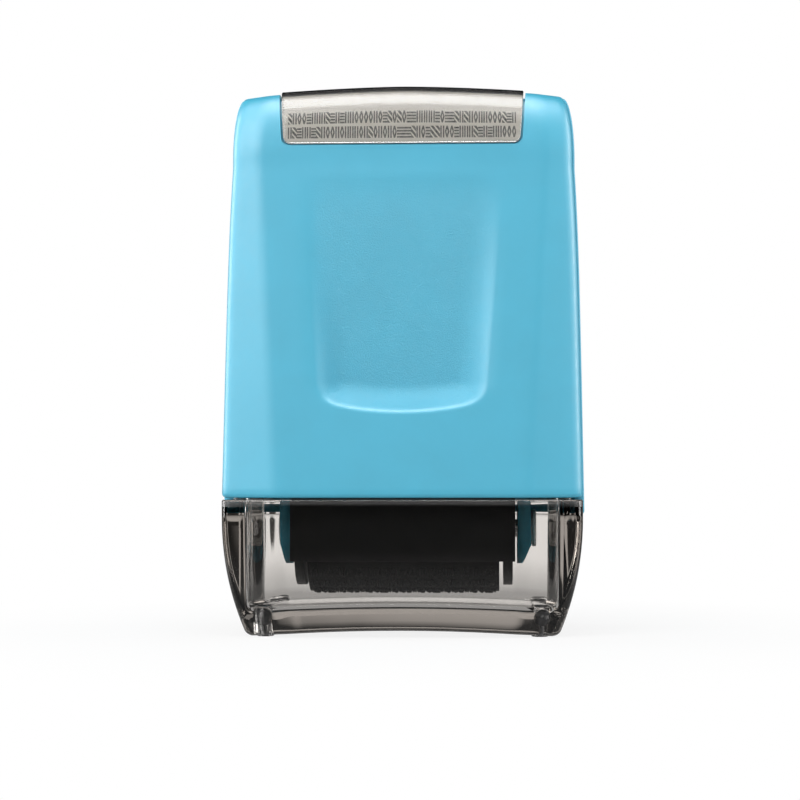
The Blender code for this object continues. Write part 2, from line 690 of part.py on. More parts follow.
def make_axle(parent):
    centre = (0.0, 0.0, AXLE_Z)
    end_radius = AXLE_RADIUS - AXLE_CHAMFER
    full = AXLE_HALF - AXLE_CHAMFER
    outline = [(-AXLE_HALF, 0), (-AXLE_HALF, end_radius), (-full, AXLE_RADIUS)]
    outline += [(full, AXLE_RADIUS), (AXLE_HALF, end_radius), (AXLE_HALF, 0)]
    add_piece("roller_axle", turned(outline, 24, "X", centre), STEEL, parent)
    bore = AXLE_RADIUS + GAP
    flange = ARM_OUT + GAP
    end = flange + BUSH_FLANGE
    outline = [(ARM_IN, bore), (ARM_IN, BUSH_RADIUS), (flange, BUSH_RADIUS), (flange, BUSH_FLANGE_RADIUS)]
    outline += [(end, BUSH_FLANGE_RADIUS), (end, bore)]
    for side, word in ((-1, "left"), (1, "right")):
        bush = turned([(side * along, radius) for along, radius in outline], 24, "X", centre)
        add_piece(f"axle_bush_{word}", bush, WHITE, parent)


def make_print_roller(parent):
    centre = (0.0, 0.0, AXLE_Z)
    sleeve_in = SLEEVE_RADIUS - SLEEVE_WALL
    cushion_out = sleeve_in - GAP
    core_out = cushion_out - CUSHION_WALL - GAP
    hub_out = core_out - CORE_WALL - GAP
    half = SLEEVE_HALF
    sleeve = pipe(-half, half, sleeve_in, SLEEVE_RADIUS, ROLLER_SEGMENTS, centre)
    add_piece("print_sleeve", sleeve, RUBBER, parent)
    cushion = pipe(-half, half, core_out + GAP, cushion_out, ROLLER_SEGMENTS, centre)
    add_piece("cushion_sleeve", cushion, CUSHION, parent)
    core = pipe(-half, half, hub_out + GAP, core_out, ROLLER_SEGMENTS, centre)
    add_piece("roller_core", core, BLACK, parent)
    bore = AXLE_RADIUS + GAP
    for side, word in ((-1, "left"), (1, "right")):
        outline = [(half - HUB_DEPTH, bore), (half - HUB_DEPTH, HUB_BOSS_RADIUS)]
        outline += [(half - HUB_DISC, HUB_BOSS_RADIUS), (half - HUB_DISC, hub_out)]
        outline += [(half, hub_out), (half, bore)]
        hub = turned([(side * along, radius) for along, radius in outline], ROLLER_SEGMENTS, "X", centre)
        add_piece(f"roller_hub_{word}", hub, WHITE, parent)


def make_ink_roller(parent):
    centre = (0.0, 0.0, INK_AXLE_Z)
    core_in = INK_AXLE_RADIUS + GAP
    add_piece("ink_core", pipe(-INK_HALF, INK_HALF, core_in, INK_CORE_RADIUS, 24, centre), WHITE, parent)
    foam_in = INK_CORE_RADIUS + GAP
    add_piece("ink_foam", pipe(-INK_HALF, INK_HALF, foam_in, INK_RADIUS, 32, centre), FOAM, parent)


def coil(x, low_z, high_z):
    """An upright coil spring as one unbroken tube."""
    bm = bmesh.new()
    steps = SPRING_TURNS * SPRING_STEPS
    rings = []
    for k in range(steps + 1):
        angle = math.tau * SPRING_TURNS * k / steps
        rise = low_z + SPRING_WIRE + (high_z - low_z - 2 * SPRING_WIRE) * k / steps
        ring = []
        for j in range(SPRING_SIDES):
            turn = math.tau * j / SPRING_SIDES
            reach = SPRING_RADIUS + SPRING_WIRE * math.cos(turn)
            height = rise + SPRING_WIRE * math.sin(turn)
            ring.append((x + reach * math.cos(angle), reach * math.sin(angle), height))
        rings.append(join_points(bm, ring))
    for lower, upper in zip(rings, rings[1:]):
        bridge_rows(bm, lower, upper, closed=True)
    bm.faces.new(rings[0])
    bm.faces.new(rings[-1])
    bmesh.ops.recalc_face_normals(bm, faces=bm.faces)
    return bm


def make_ink_carriage(parent):
    """The axle of the ink roller, its two sliding blocks and the springs that press them down."""
    centre = (0.0, 0.0, INK_AXLE_Z)
    axle = rod(-INK_AXLE_HALF, INK_AXLE_HALF, INK_AXLE_RADIUS, 20, "X", centre)
    add_piece("ink_axle", axle, STEEL, parent)
    low_z = INK_AXLE_Z - INK_BLOCK_HALF
    high_z = INK_AXLE_Z + INK_BLOCK_HALF
    for side, word in ((-1, "left"), (1, "right")):
        xs = sorted(side * x for x in INK_BLOCK_X)
        body = solid_box((xs[0], -INK_BLOCK_HALF, low_z), (xs[1], INK_BLOCK_HALF, high_z))
        block = add_piece(f"ink_block_{word}", body, WHITE, parent)
        ends = sorted((side * (INK_BLOCK_X[1] - 0.5), side * INK_TONGUE_OUT))
        start = (ends[0], -INK_TONGUE_HALF, low_z + INK_TONGUE_LOWER)
        tongue = solid_box(start, (ends[1], INK_TONGUE_HALF, high_z - INK_TONGUE_LOWER))
        combine(block, add_tool(f"tongue_{word}", tongue, parent), "UNION")
        bore = rod(side * 10.0, side * (INK_AXLE_HALF + 0.15), INK_AXLE_RADIUS + GAP, 20, "X", centre)
        combine(block, add_tool(f"block_bore_{word}", bore, parent), "DIFFERENCE")
        spring = coil(side * SPRING_X, high_z + GAP, FRAME_TOP_Z - FRAME_WALL - GAP)
        add_piece(f"ink_spring_{word}", spring, STEEL, parent)


def main():
    clear_scene()
    handle = axis_empty("handle_axis", 0.0)
    roller = axis_empty("roller_axis", AXLE_Z)
    ink = axis_empty("ink_roller_axis", INK_AXLE_Z)
    groove = add_tool("label_groove", band(GROOVE_BAND, GROOVE_MARGIN), handle)
    make_cap()
    make_front_shell(handle, groove)
    make_rear_shell(handle, groove)
    make_label(handle)
    make_chassis(handle)
    make_chassis_screws(handle)
    make_cartridge_frame(handle)
    make_ink_plug(handle)
    make_axle(handle)
    make_ink_carriage(handle)
    make_print_roller(roller)
    make_ink_roller(ink)


main()
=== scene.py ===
"""Looks of the privacy roller stamp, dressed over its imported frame.

Sizes are in millimetres until a mesh is made, and in metres on the stage. The front face looks
towards -Y, and +Z is up.
"""

import math

import bmesh
import bpy
import numpy as np
from mathutils import Matrix, Vector


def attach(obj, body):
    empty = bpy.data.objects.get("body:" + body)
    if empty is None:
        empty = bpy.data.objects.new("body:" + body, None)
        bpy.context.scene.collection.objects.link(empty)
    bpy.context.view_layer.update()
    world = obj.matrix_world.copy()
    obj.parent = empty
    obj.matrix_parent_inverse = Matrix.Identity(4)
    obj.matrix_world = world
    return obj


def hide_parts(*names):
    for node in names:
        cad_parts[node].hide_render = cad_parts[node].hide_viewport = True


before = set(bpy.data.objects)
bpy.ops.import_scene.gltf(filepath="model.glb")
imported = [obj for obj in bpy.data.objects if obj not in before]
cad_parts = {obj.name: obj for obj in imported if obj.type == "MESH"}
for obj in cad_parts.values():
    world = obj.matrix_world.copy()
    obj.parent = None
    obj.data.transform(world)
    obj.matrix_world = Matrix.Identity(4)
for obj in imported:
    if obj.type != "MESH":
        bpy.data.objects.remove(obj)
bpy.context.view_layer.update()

MM = 0.001
SHARP_ANGLE = 35.0  # degrees, steeper edges stay sharp

# Casing, the same sizes as in the solids
HALF_WIDTH = 30.0
HALF_DEPTH = 20.0
FRONT_LOW_Z = 23.1
REAR_LOW_Z = 20.1
REAR_GROW = 0.55
PARTING_Y = -8.0
PARTING_GAP = 0.25
SHELL_WALL = 1.6
SIDE_TAPER = 0.0165  # how much half the width shrinks over 1 mm of height
SIDE_CROWN = 0.73  # and how much more it has shrunk one span above its foot
CROWN_SPAN = 60.0
CROWN_POWER = 5
FACE_TAPER = 0.085
TOP_Z = 92.2
TOP_DROP = 0.83  # how much lower the top is at TOP_DROP_X from its middle
TOP_DROP_X = 19.5
TOP_DROP_POWER = 1.6
TOP_ROUND_X = (1.9, 10.0)  # how far in and how far down the sides round off
TOP_ROUND_Y = 4.6  # how far in the front and the rear round off
TOP_ROUND_Z = 12.0  # and how far down
FACET_X = 20.9
FACET_SPREAD = 0.055
FACET_SLOPE = 0.32
FACET_SOFT = 1.1  # half length of the round between the face and a facet
FACET_INSET = 6  # a facet starts 1 mm further in on a surface that is set in by this much
CORNER_TANGENT = 1.8
SHELL_TANGENT = (0.75, 0.5)  # the tangent's loss for each millimetre inwards, and its least value
CAP_TANGENT = (0.4, 0.6)  # the same in the cap
LOW_EDGE_RADIUS = 0.7
PARTING_RADIUS = 0.3

# Thumb recess
RECESS_LOW_Z = 37.0
RECESS_ARC = 1.8  # how much higher the lower edge is at its ends
RECESS_TOP_Z = 77.0
RECESS_HALF_LOW = 14.0
RECESS_SPREAD = 0.085
RECESS_WALL = 5.6
RECESS_WALL_HEIGHT = 4.8
RECESS_DEEP = 3.0
RECESS_DISH = 0.22
RECESS_EDGE = 0.12  # share of the wall over which its outer edge is rounded
RECESS_SQUARE = 3.6  # 2 makes its lower corners fully round
GRAIN_TOP_Z = 81.0  # the rough grain ends here, after fading over GRAIN_FADE
GRAIN_FADE = 14.0

# Label groove, plate and window
LABEL_LOW_Z = 82.45
LABEL_HALF_LOW = 19.8
LABEL_SPREAD = 0.07
LABEL_CORNER = 1.1
GROOVE_BAND = ((-1.0, 0.35), (3.0, 0.35))  # (offset from the casing's surface, margin) layers
PLATE_BAND = ((-0.8, 0.0), (-0.6, 0.0))
WINDOW_BAND = ((-0.4, 0.0), (0.15, 0.0), (0.25, -0.04), (0.32, -0.11), (0.35, -0.2))

# Cap
CAP_HALF_WIDTH = 30.05
CAP_HALF_DEPTH = 19.9
CAP_TUCK_X = 4.0  # how far the cap's foot is drawn in at the sides, below CAP_CURVE_Z
CAP_TUCK_Y = 2.6
CAP_TUCK_POWER = 2.1
CAP_CURVE_Z = 20.0
CAP_EDGE_Z = 22.8
CAP_REAR_EDGE_Z = 19.8
CAP_WALL = 3.1
CAP_FOOT_ROUND = 0.9
CAP_EDGE_ROUND = 0.3
CAVITY_HALF_WIDTH = 25.9
CAVITY_DRAFT = 0.01
CAVITY_FLOOR_ROUND = 1.6
GUIDE_RISE = 1.6  # of the soft upright rib on each side of the cavity
GUIDE_REACH = (6.5, 13.5)  # from its crest to the front and to the rear
CAP_FLOOR_Z = 4.2
CAP_ARCH = 1.0
CAP_ARCH_X = 25.0
CAP_LIFT = 0.1
NECK_TOP_Z = 30.0
NECK_INSET = 1.85
FOOT_X = 22.9
FOOT_Y = 13.2
FOOT_RADIUS = 1.6
FOOT_TOP_Z = 5.4
FOOT_CHAMFER = 0.3
FOOT_TOP_ROUND = ((0.5, 0.0), (0.15, 0.15), (0.0, 0.5))  # (drop, inset) points
PIN_BALL_Z = 3.5
PIN_BALL_RADIUS = 1.42
PIN_STEM_RADIUS = 0.42
PIN_STEM_Z = 0.35
PIN_NECK_ANGLE = 0.3  # of the ball's part that the stem hides, seen from the ball's middle

# Screw posts
POST_X = 11.0
POST_Z = 66.0
POST_BORE = 1.25
POST_RADIUS = 2.6
POST_CHAMFER = 0.25
POST_Y = (4.75, 13.2)

# Rollers
AXLE_Z = 17.7
SLEEVE_RADIUS = 11.0
SLEEVE_WALL = 0.8
SLEEVE_HALF = 16.2
RELIEF_DEPTH = 0.33
RELIEF_BASE = 0.35  # how far below the sleeve's radius the relief's ground lies
RELIEF_ROWS = 22
RELIEF_ROW = (0.2, 0.86)  # where its marks start and end in the height of a row
RELIEF_BAR = 0.9  # run of one mark along the roller
RELIEF_MARGIN = 0.5
CUSHION_RADII = (8.35, 9.93)
CUSHION_HALF = 16.1
INK_AXLE_Z = 33.5
INK_FOAM_RADII = (2.45, 4.5)
INK_FOAM_HALF = 14.8
FOAM_ROUND = (0.5, 0.3)  # along the roller and inwards, at each end of a foam sleeve
FOAM_ROUGH = 0.09

# How finely the skins are divided
TOP_STEPS = 18
FLAT_STEPS = 3  # on each flat stretch beside a facet's edge
FACET_STEPS = 6
CORNER_STEPS = 9
LOW_EDGE_STEPS = 4
SIDE_STEPS = 8
PARTING_STEPS = 3
FLOOR_COLUMNS = 8
WALL_COLUMNS = 9
LOW_WALL_Z = (36.0, 44.0)  # the rows are closest between these heights
ROWS = (12, 20, 36)  # below them, between them and above them
TOP_MARGIN = 0.8  # between the last of these rows and the top's round
BAND_COLUMNS = 40
BAND_STEPS = (6, 16, 5)  # on its lower corner, round the top's edge and on half the top
CAP_FACE_XS = [0.0, 4.0, 8.0, 12.0, 16.0]
CAP_SIDE_STEPS = (3, 24, 6)  # before, between and after the places of the parting plane
CAP_STEP = 0.06  # run of the step between the ledge's front and rear heights
CAP_ROWS = (22, 3, 24)  # on the outside, on the neck and in the cavity
CAP_FOOT_STEPS = 6
CAP_EDGE_STEPS = 3
NECK_LEAD = 1.0  # the neck's first stretch of rows ends this far above the front ledge
CAVITY_ZS = (26.0, 22.0)  # the cavity's upper rows
CAVITY_FLOOR_STEPS = 7
TURNED_SEGMENTS = 32
PIN_SEGMENTS = 28
PIN_STEPS = 12
RELIEF_STEPS = (150, 330)  # along the print sleeve and round it
FOAM_STEPS = (60, 72)  # the same for a foam sleeve


def smooth_step(value):
    value = min(max(value, 0.0), 1.0)
    return value * value * (3 - 2 * value)


def half_width(z):
    rise = z - FRONT_LOW_Z
    return HALF_WIDTH - SIDE_TAPER * rise - SIDE_CROWN * max(rise / CROWN_SPAN, 0) ** CROWN_POWER


def half_depth(z):
    return HALF_DEPTH - FACE_TAPER * max(z - FRONT_LOW_Z, 0.0)


def facet_start(z):
    return FACET_X + FACET_SPREAD * (z - FRONT_LOW_Z)


def top_height(x):
    return TOP_Z - TOP_DROP * (abs(x) / TOP_DROP_X) ** TOP_DROP_POWER


def recess_half(z):
    return RECESS_HALF_LOW + RECESS_SPREAD * (z - RECESS_LOW_Z)


def recess_wall(x, z):
    """Share of the recess's full depth at a place on the face, from 0 outside it to 1 on its floor."""
    low_z = RECESS_LOW_Z + RECESS_ARC * (x / RECESS_HALF_LOW) ** 2
    side = max(1 - (recess_half(z) - abs(x)) / RECESS_WALL, 0.0)
    low = max(1 - (z - low_z) / RECESS_WALL_HEIGHT, 0.0)
    outward = (side**RECESS_SQUARE + low**RECESS_SQUARE) ** (1 / RECESS_SQUARE)
    eased = math.hypot(max(1 - outward, 0.0), RECESS_EDGE) - RECESS_EDGE
    return math.sin(math.pi / 2 * eased / (math.hypot(1.0, RECESS_EDGE) - RECESS_EDGE))


def recess_depth(x, z):
    floor = RECESS_DEEP * max(RECESS_TOP_Z - z, 0.0) / (RECESS_TOP_Z - RECESS_LOW_Z)
    return recess_wall(x, z) * floor * (1 + RECESS_DISH * (1 - (x / recess_half(z)) ** 2))


def spread(start, end, count):
    """Evenly spaced values after start, up to and with end."""
    return [start + (end - start) * k / count for k in range(1, count + 1)]


def arc_points(start, corner, end, count):
    """Points of the quadratic round of a corner, after its start."""
    points = []
    for t in spread(0.0, 1.0, count):
        points.append(start * (1 - t) ** 2 + corner * 2 * t * (1 - t) + end * t * t)
    return points


def set_in_tangent(inset, change):
    """Tangent of the corner round on a surface that is set in."""
    loss, least = change
    return max(CORNER_TANGENT - loss * inset, least)


def edge_round(radius, count):
    """(rise, inset) pairs of a quarter round, from its inset end."""
    angles = [math.pi / 2 * k / count for k in range(count + 1)]
    return [(radius * (1 - math.cos(a)), radius * (1 - math.sin(a))) for a in angles]


PARTING_ROUND = edge_round(PARTING_RADIUS, PARTING_STEPS)


def shade(mesh, sharp):
    """Shades a mesh smooth, but for edges of more than this angle."""
    mesh.shade_smooth()
    mesh.set_sharp_from_angle(angle=math.radians(sharp))


def mesh_piece(name, points, faces, body, sharp=SHARP_ANGLE):
    """A mesh in millimetres as an object, which rides on a body if one is given."""
    mesh = bpy.data.meshes.new(name)
    mesh.from_pydata((np.array(points, float) * MM).tolist(), [], faces)
    bm = bmesh.new()
    bm.from_mesh(mesh)
    bmesh.ops.delete(bm, geom=[vert for vert in bm.verts if not vert.link_faces], context="VERTS")
    bmesh.ops.recalc_face_normals(bm, faces=bm.faces)
    bm.to_mesh(mesh)
    bm.free()
    shade(mesh, sharp)
    obj = bpy.data.objects.new(name, mesh)
    bpy.context.scene.collection.objects.link(obj)
    if body:
        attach(obj, body)
    return obj


def combine(obj, tool, operation):
    """Cuts a tool from an object or joins it on, and removes the tool."""
    modifier = obj.modifiers.new(operation, "BOOLEAN")
    modifier.object = tool
    modifier.operation = operation
    modifier.solver = "EXACT"
    bpy.context.view_layer.update()
    depsgraph = bpy.context.evaluated_depsgraph_get()
    mesh = bpy.data.meshes.new_from_object(obj.evaluated_get(depsgraph))
    old = obj.data
    obj.modifiers.clear()
    obj.data = mesh
    bpy.data.meshes.remove(old)
    shade(mesh, SHARP_ANGLE)
    bpy.data.objects.remove(tool, do_unlink=True)


class Sheet:
    """Points and faces of one mesh while it is put together."""

    def __init__(self):
        self.points = []
        self.faces = []

    def row(self, points):
        first = len(self.points)
        self.points += [tuple(p) for p in points]
        return list(range(first, first + len(points)))

    def bridge(self, lower, upper, closed=False):
        count = len(lower)
        for k in range(count if closed else count - 1):
            after = (k + 1) % count
            self.faces.append((lower[k], lower[after], upper[after], upper[k]))


# The casing's two shells

def front_plan(width, depth, facet_x, face_xs, tangent, last_y=0.0):
    """Right half of a plan section: (x, y) from the face's middle to the end of the corner round."""
    corner = Vector((width, FACET_SLOPE * (width - facet_x) - depth))
    tangent = min(tangent, last_y - corner.y)
    along = Vector((1.0, FACET_SLOPE)).normalized()
    bend = Vector((facet_x, -depth))
    bend_start = bend - Vector((FACET_SOFT, 0.0))
    bend_end = bend + along * FACET_SOFT
    corner_start = corner - along * tangent
    corner_end = corner + Vector((0.0, tangent))
    points = [Vector((x, -depth)) for x in face_xs]
    points += [Vector((x, -depth)) for x in spread(face_xs[-1], bend_start.x, FLAT_STEPS)]
    points += arc_points(bend_start, bend, bend_end, FACET_STEPS)
    points += [bend_end.lerp(corner_start, t) for t in spread(0.0, 1.0, FLAT_STEPS)]
    return points + arc_points(corner_start, corner, corner_end, CORNER_STEPS)


def face_columns(z):
    """Places across half the face, closest together on the recess's side wall."""
    half = recess_half(z)
    floor = half - RECESS_WALL
    return [0.0, *spread(0.0, floor, FLOOR_COLUMNS), *spread(floor, half, WALL_COLUMNS)]


def side_steps(start_y, side_y, off):
    """(y, inset) pairs along the side wall, whose outside is rounded where the two shells meet."""
    steps = [(y, 0.0) for y in spread(start_y, side_y - PARTING_RADIUS, SIDE_STEPS)]
    rounded = 0.0 if off else 1.0
    return steps + [(side_y - rise, inset * rounded) for rise, inset in reversed(PARTING_ROUND[:-1])]


def casing_levels(low_z, off):
    """(z, inset, top angle) levels of the rows up the face and round the top."""
    start_z = top_height(half_width(TOP_Z - TOP_ROUND_Z)) - TOP_ROUND_Z
    rounded = 0.0 if off else 1.0
    foot = edge_round(LOW_EDGE_RADIUS, LOW_EDGE_STEPS)
    levels = [(low_z + rise, inset * rounded, None) for rise, inset in foot]
    stops = (levels[-1][0], *LOW_WALL_Z, start_z - TOP_MARGIN)
    for start, end, count in zip(stops, stops[1:], ROWS):
        levels += [(z, 0.0, None) for z in spread(start, end, count)]
    return levels + [(start_z, 0.0, math.pi / 2 * k / TOP_STEPS) for k in range(TOP_STEPS + 1)]


def side_turn(drop):
    """Angle that the side's round has reached at this distance below the top."""
    return math.asin(max(1 - drop / TOP_ROUND_X[1], 0.0))


def casing_row(level, side_y, grow, off):
    """One row of the casing's surface, set in by off, from the face's middle round to side_y."""
    z, low_inset, angle = level
    drawn = low_inset + off
    turn_in = 0.0 if angle is None else 1 - math.cos(angle)
    side_angle = 0.0 if angle is None else side_turn(TOP_ROUND_Z * (1 - math.sin(angle)))
    side_in = (TOP_ROUND_X[0] - off) * (1 - math.cos(side_angle))
    draw_x = side_in + drawn
    width = half_width(z) + grow - draw_x
    depth = half_depth(z) - (TOP_ROUND_Y - off) * turn_in - drawn
    facet_x = facet_start(z) - side_in - drawn / FACET_INSET
    tangent = set_in_tangent(off, SHELL_TANGENT)
    last_y = side_y - 2 * PARTING_RADIUS
    plan = [(p.x, p.y, 0.0) for p in front_plan(width, depth, facet_x, face_columns(z), tangent, last_y)]
    plan += [(width, y, inset) for y, inset in side_steps(plan[-1][1], side_y, off)]
    row = []
    for x, y, inset in plan:
        if angle is None:
            row.append((x - inset, y + recess_depth(x, z), z))
        else:
            top = top_height(x) - off
            rise = top - (TOP_ROUND_Z - off) * (1 - math.sin(angle))
            lean = FACE_TAPER * max(top - TOP_ROUND_Z - z, 0.0) if y < -depth / 2 else 0.0
            inwards = inset * math.cos(side_angle)
            down = inset * math.sin(side_angle)
            row.append((x - inwards, y + lean * (1 - turn_in), rise - down))
    return row


def mirrored_row(row):
    return [(-x, y, z) for x, y, z in reversed(row[1:])] + row


def casing_side(sheet, low_z, side_y, grow, off):
    """Adds one face of a shell's wall to the sheet and returns its rim as a closed loop."""
    rows = []
    for level in casing_levels(low_z, off):
        rows.append(sheet.row(mirrored_row(casing_row(level, side_y, grow, off))))
    for lower, upper in zip(rows, rows[1:]):
        sheet.bridge(lower, upper)
    rim = rows[-1]
    side_count = SIDE_STEPS + PARTING_STEPS + 1
    reach = side_count + CORNER_STEPS
    front = rim[reach - 1 : len(rim) - reach + 1]
    right = rim[len(rim) - side_count :]
    left = rim[side_count - 1 :: -1]
    previous = None
    start_y = sheet.points[right[0]][1]
    steps = [(start_y, 0.0), *side_steps(start_y, side_y, off)]
    for (y, inset), right_end, left_end in zip(steps, right, left):
        points = [(sheet.points[k][0], y, top_height(sheet.points[k][0]) - off - inset) for k in front]
        row = sheet.row(points)
        if previous is None:
            sheet.bridge(front, row)
            last = len(rim) - side_count
            sheet.faces.append((front[-1], *rim[len(rim) - reach + 1 : last + 1], row[-1]))
            sheet.faces.append((front[0], *rim[reach - 2 : side_count - 2 : -1], row[0]))
        else:
            sheet.bridge([previous[0], *previous[1], previous[2]], [left_end, *row, right_end])
        previous = (left_end, row, right_end)
    up = [row[-1] for row in rows]
    down = [row[0] for row in reversed(rows)]
    return rows[0] + up[1:] + list(reversed(previous[1])) + down[:-1]


def shell_piece(name, node, low_z, side_y, grow, turn_round):
    sheet = Sheet()
    outer = casing_side(sheet, low_z, side_y, grow, 0.0)
    inner = casing_side(sheet, low_z, side_y, grow, SHELL_WALL)
    sheet.bridge(outer, inner, closed=True)
    points = np.array(sheet.points)
    if turn_round:
        points[:, :2] *= -1
    shell = mesh_piece(name, points, sheet.faces, "handle")
    combine(shell, band_piece("groove", GROOVE_BAND, None), "DIFFERENCE")
    add_grain(shell)
    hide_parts(node)
    return shell


def add_grain(shell):
    """Marks the recess, whose surface is rougher than the rest, for the shell's material."""
    layer = shell.data.attributes.new("grain", "FLOAT", "POINT")
    values = []
    for vertex in shell.data.vertices:
        x, y, z = vertex.co / MM
        values.append(recess_wall(x, z) * smooth_step((GRAIN_TOP_Z - z) / GRAIN_FADE))
    layer.data.foreach_set("value", values)


# The label's groove, plate and window

def label_half(z):
    return LABEL_HALF_LOW + LABEL_SPREAD * (z - LABEL_LOW_Z)


def band_path(x, offset, low_z):
    """(y, z) points over the top from the front face's low_z to the rear's."""
    start_z = top_height(x) - TOP_ROUND_Z
    middle = half_depth(start_z) - TOP_ROUND_Y
    corner_steps, turn_steps, top_steps = BAND_STEPS
    rises = [rise for rise, inset in edge_round(LABEL_CORNER, corner_steps)]
    angles = [math.asin((low_z + rise - start_z) / TOP_ROUND_Z) for rise in rises]
    front = []
    for angle in angles + spread(angles[-1], math.pi / 2, turn_steps):
        turn = Vector((math.cos(angle), math.sin(angle)))
        out = Vector((TOP_ROUND_Z * turn.x, TOP_ROUND_Y * turn.y)).normalized() * offset
        front.append((-middle - TOP_ROUND_Y * turn.x - out.x, start_z + TOP_ROUND_Z * turn.y + out.y))
    front += [(y, top_height(x) + offset) for y in spread(-middle, 0.0, top_steps)]
    return front + [(-y, z) for y, z in reversed(front[:-1])]


def band_layer(sheet, offset, margin):
    """One layer of a band as columns of points from left to right."""
    low_z = LABEL_LOW_Z - margin
    rounds = [inset for rise, inset in edge_round(LABEL_CORNER + margin, BAND_STEPS[0])]
    columns = []
    for k in range(BAND_COLUMNS + 1):
        share = 2 * k / BAND_COLUMNS - 1
        path = band_path(share * LABEL_HALF_LOW, offset, low_z)
        points = []
        for index, (y, z) in enumerate(path):
            end = min(index, len(path) - 1 - index)
            inset = rounds[end] if end < len(rounds) else 0.0
            points.append((share * (label_half(z) + margin - inset), y, z))
        columns.append(sheet.row(points))
    return columns


def band_piece(name, layers, body):
    """A strip with rounded lower corners that wraps over the top, through (offset, margin) layers."""
    sheet = Sheet()
    loops = []
    for place, (offset, margin) in enumerate(layers):
        columns = band_layer(sheet, offset, margin)
        if place in (0, len(layers) - 1):
            for left, right in zip(columns, columns[1:]):
                sheet.bridge(left, right)
        low = [column[0] for column in columns]
        high = [column[-1] for column in reversed(columns)]
        loops.append(low + columns[-1][1:-1] + high + columns[0][-2:0:-1])
    for inner, outer in zip(loops, loops[1:]):
        sheet.bridge(inner, outer, closed=True)
    return mesh_piece(name, sheet.points, sheet.faces, body)


def make_handle_skins():
    front = shell_piece("front_skin", "front_shell", FRONT_LOW_Z, PARTING_Y - PARTING_GAP / 2, 0.0, False)
    rear_side_y = -PARTING_Y - PARTING_GAP / 2
    rear = shell_piece("rear_skin", "rear_shell", REAR_LOW_Z, rear_side_y, REAR_GROW, True)
    plate = band_piece("label_sheet", PLATE_BAND, "handle")
    add_label_map(plate)
    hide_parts("label_plate")
    window = band_piece("label_lens", WINDOW_BAND, "handle")
    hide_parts("label_window")
    return front, rear, plate, window


def add_label_map(plate):
    """A map of the plate in millimetres: across it, and up it from its front lower edge."""
    path = band_path(0.0, PLATE_BAND[0][0], LABEL_LOW_Z)
    reach = [0.0]
    for (y, z), (next_y, next_z) in zip(path, path[1:]):
        reach.append(reach[-1] + math.hypot(next_y - y, next_z - z))
    count = len(path)
    values = np.zeros((len(plate.data.vertices), 3))
    for index, vertex in enumerate(plate.data.vertices):
        values[index] = (vertex.co.x / MM, reach[index % count], 0.0)
    layer = plate.data.attributes.new("label_map", "FLOAT_VECTOR", "POINT")
    layer.data.foreach_set("vector", values.ravel())


# The cap

def cap_shrink(z):
    return max(1 - z / CAP_CURVE_Z, 0.0) ** CAP_TUCK_POWER


def arch_height(x):
    return CAP_LIFT + CAP_ARCH * max(1 - (x / CAP_ARCH_X) ** 2, 0.0)


def cap_plan(width, depth, facet_x, tangent):
    """Half ring of the cap: (x, y) from the middle of the front round to the middle of the rear."""
    front = front_plan(width, depth, facet_x, CAP_FACE_XS, tangent)
    start_y = front[-1].y
    edge = PARTING_Y
    before, between_edges, after = CAP_SIDE_STEPS
    side_ys = [*spread(start_y, edge - CAP_STEP, before), edge, *spread(edge, -edge, between_edges)]
    side_ys += spread(CAP_STEP - edge, -start_y, after)[:-1]
    rear = [Vector((p.x, -p.y)) for p in reversed(front)]
    return front + [Vector((width, y)) for y in side_ys] + rear


def guide_rise(y):
    """How far the rib on each inner side stands out."""
    share = min(-y / GUIDE_REACH[0] if y < 0 else y / GUIDE_REACH[1], 1.0)
    return GUIDE_RISE * (1 + math.cos(math.pi * share)) / 2


def cap_level(z, inset):
    """Half ring of the cap's outside, or of its cavity from an inset of the wall's thickness on."""
    shrink = cap_shrink(z)
    width = CAP_HALF_WIDTH - CAP_TUCK_X * shrink - inset
    depth = CAP_HALF_DEPTH - CAP_TUCK_Y * shrink - inset
    facet_x = FACET_X - inset / FACET_INSET - CAP_TUCK_X * shrink / 2
    tangent = set_in_tangent(inset, CAP_TANGENT)
    if inset >= CAP_WALL:
        width = CAVITY_HALF_WIDTH - CAVITY_DRAFT * (NECK_TOP_Z - z) + CAP_WALL - inset
    plan = cap_plan(width, depth, facet_x, tangent)
    if inset >= CAP_WALL:
        plan = [(min(x, width - guide_rise(y)), y) for x, y in plan]
    share = 1 - min(z / CAP_EDGE_Z, 1.0)
    return [(x, y, z + arch_height(x) * share) for x, y in plan]


def neck_level(z, inset):
    width = half_width(z) - NECK_INSET - inset
    depth = half_depth(z) - NECK_INSET - inset
    facet_x = facet_start(z) - (NECK_INSET + inset) / FACET_INSET
    tangent = set_in_tangent(NECK_INSET + inset, CAP_TANGENT)
    return [(x, y, z) for x, y in cap_plan(width, depth, facet_x, tangent)]


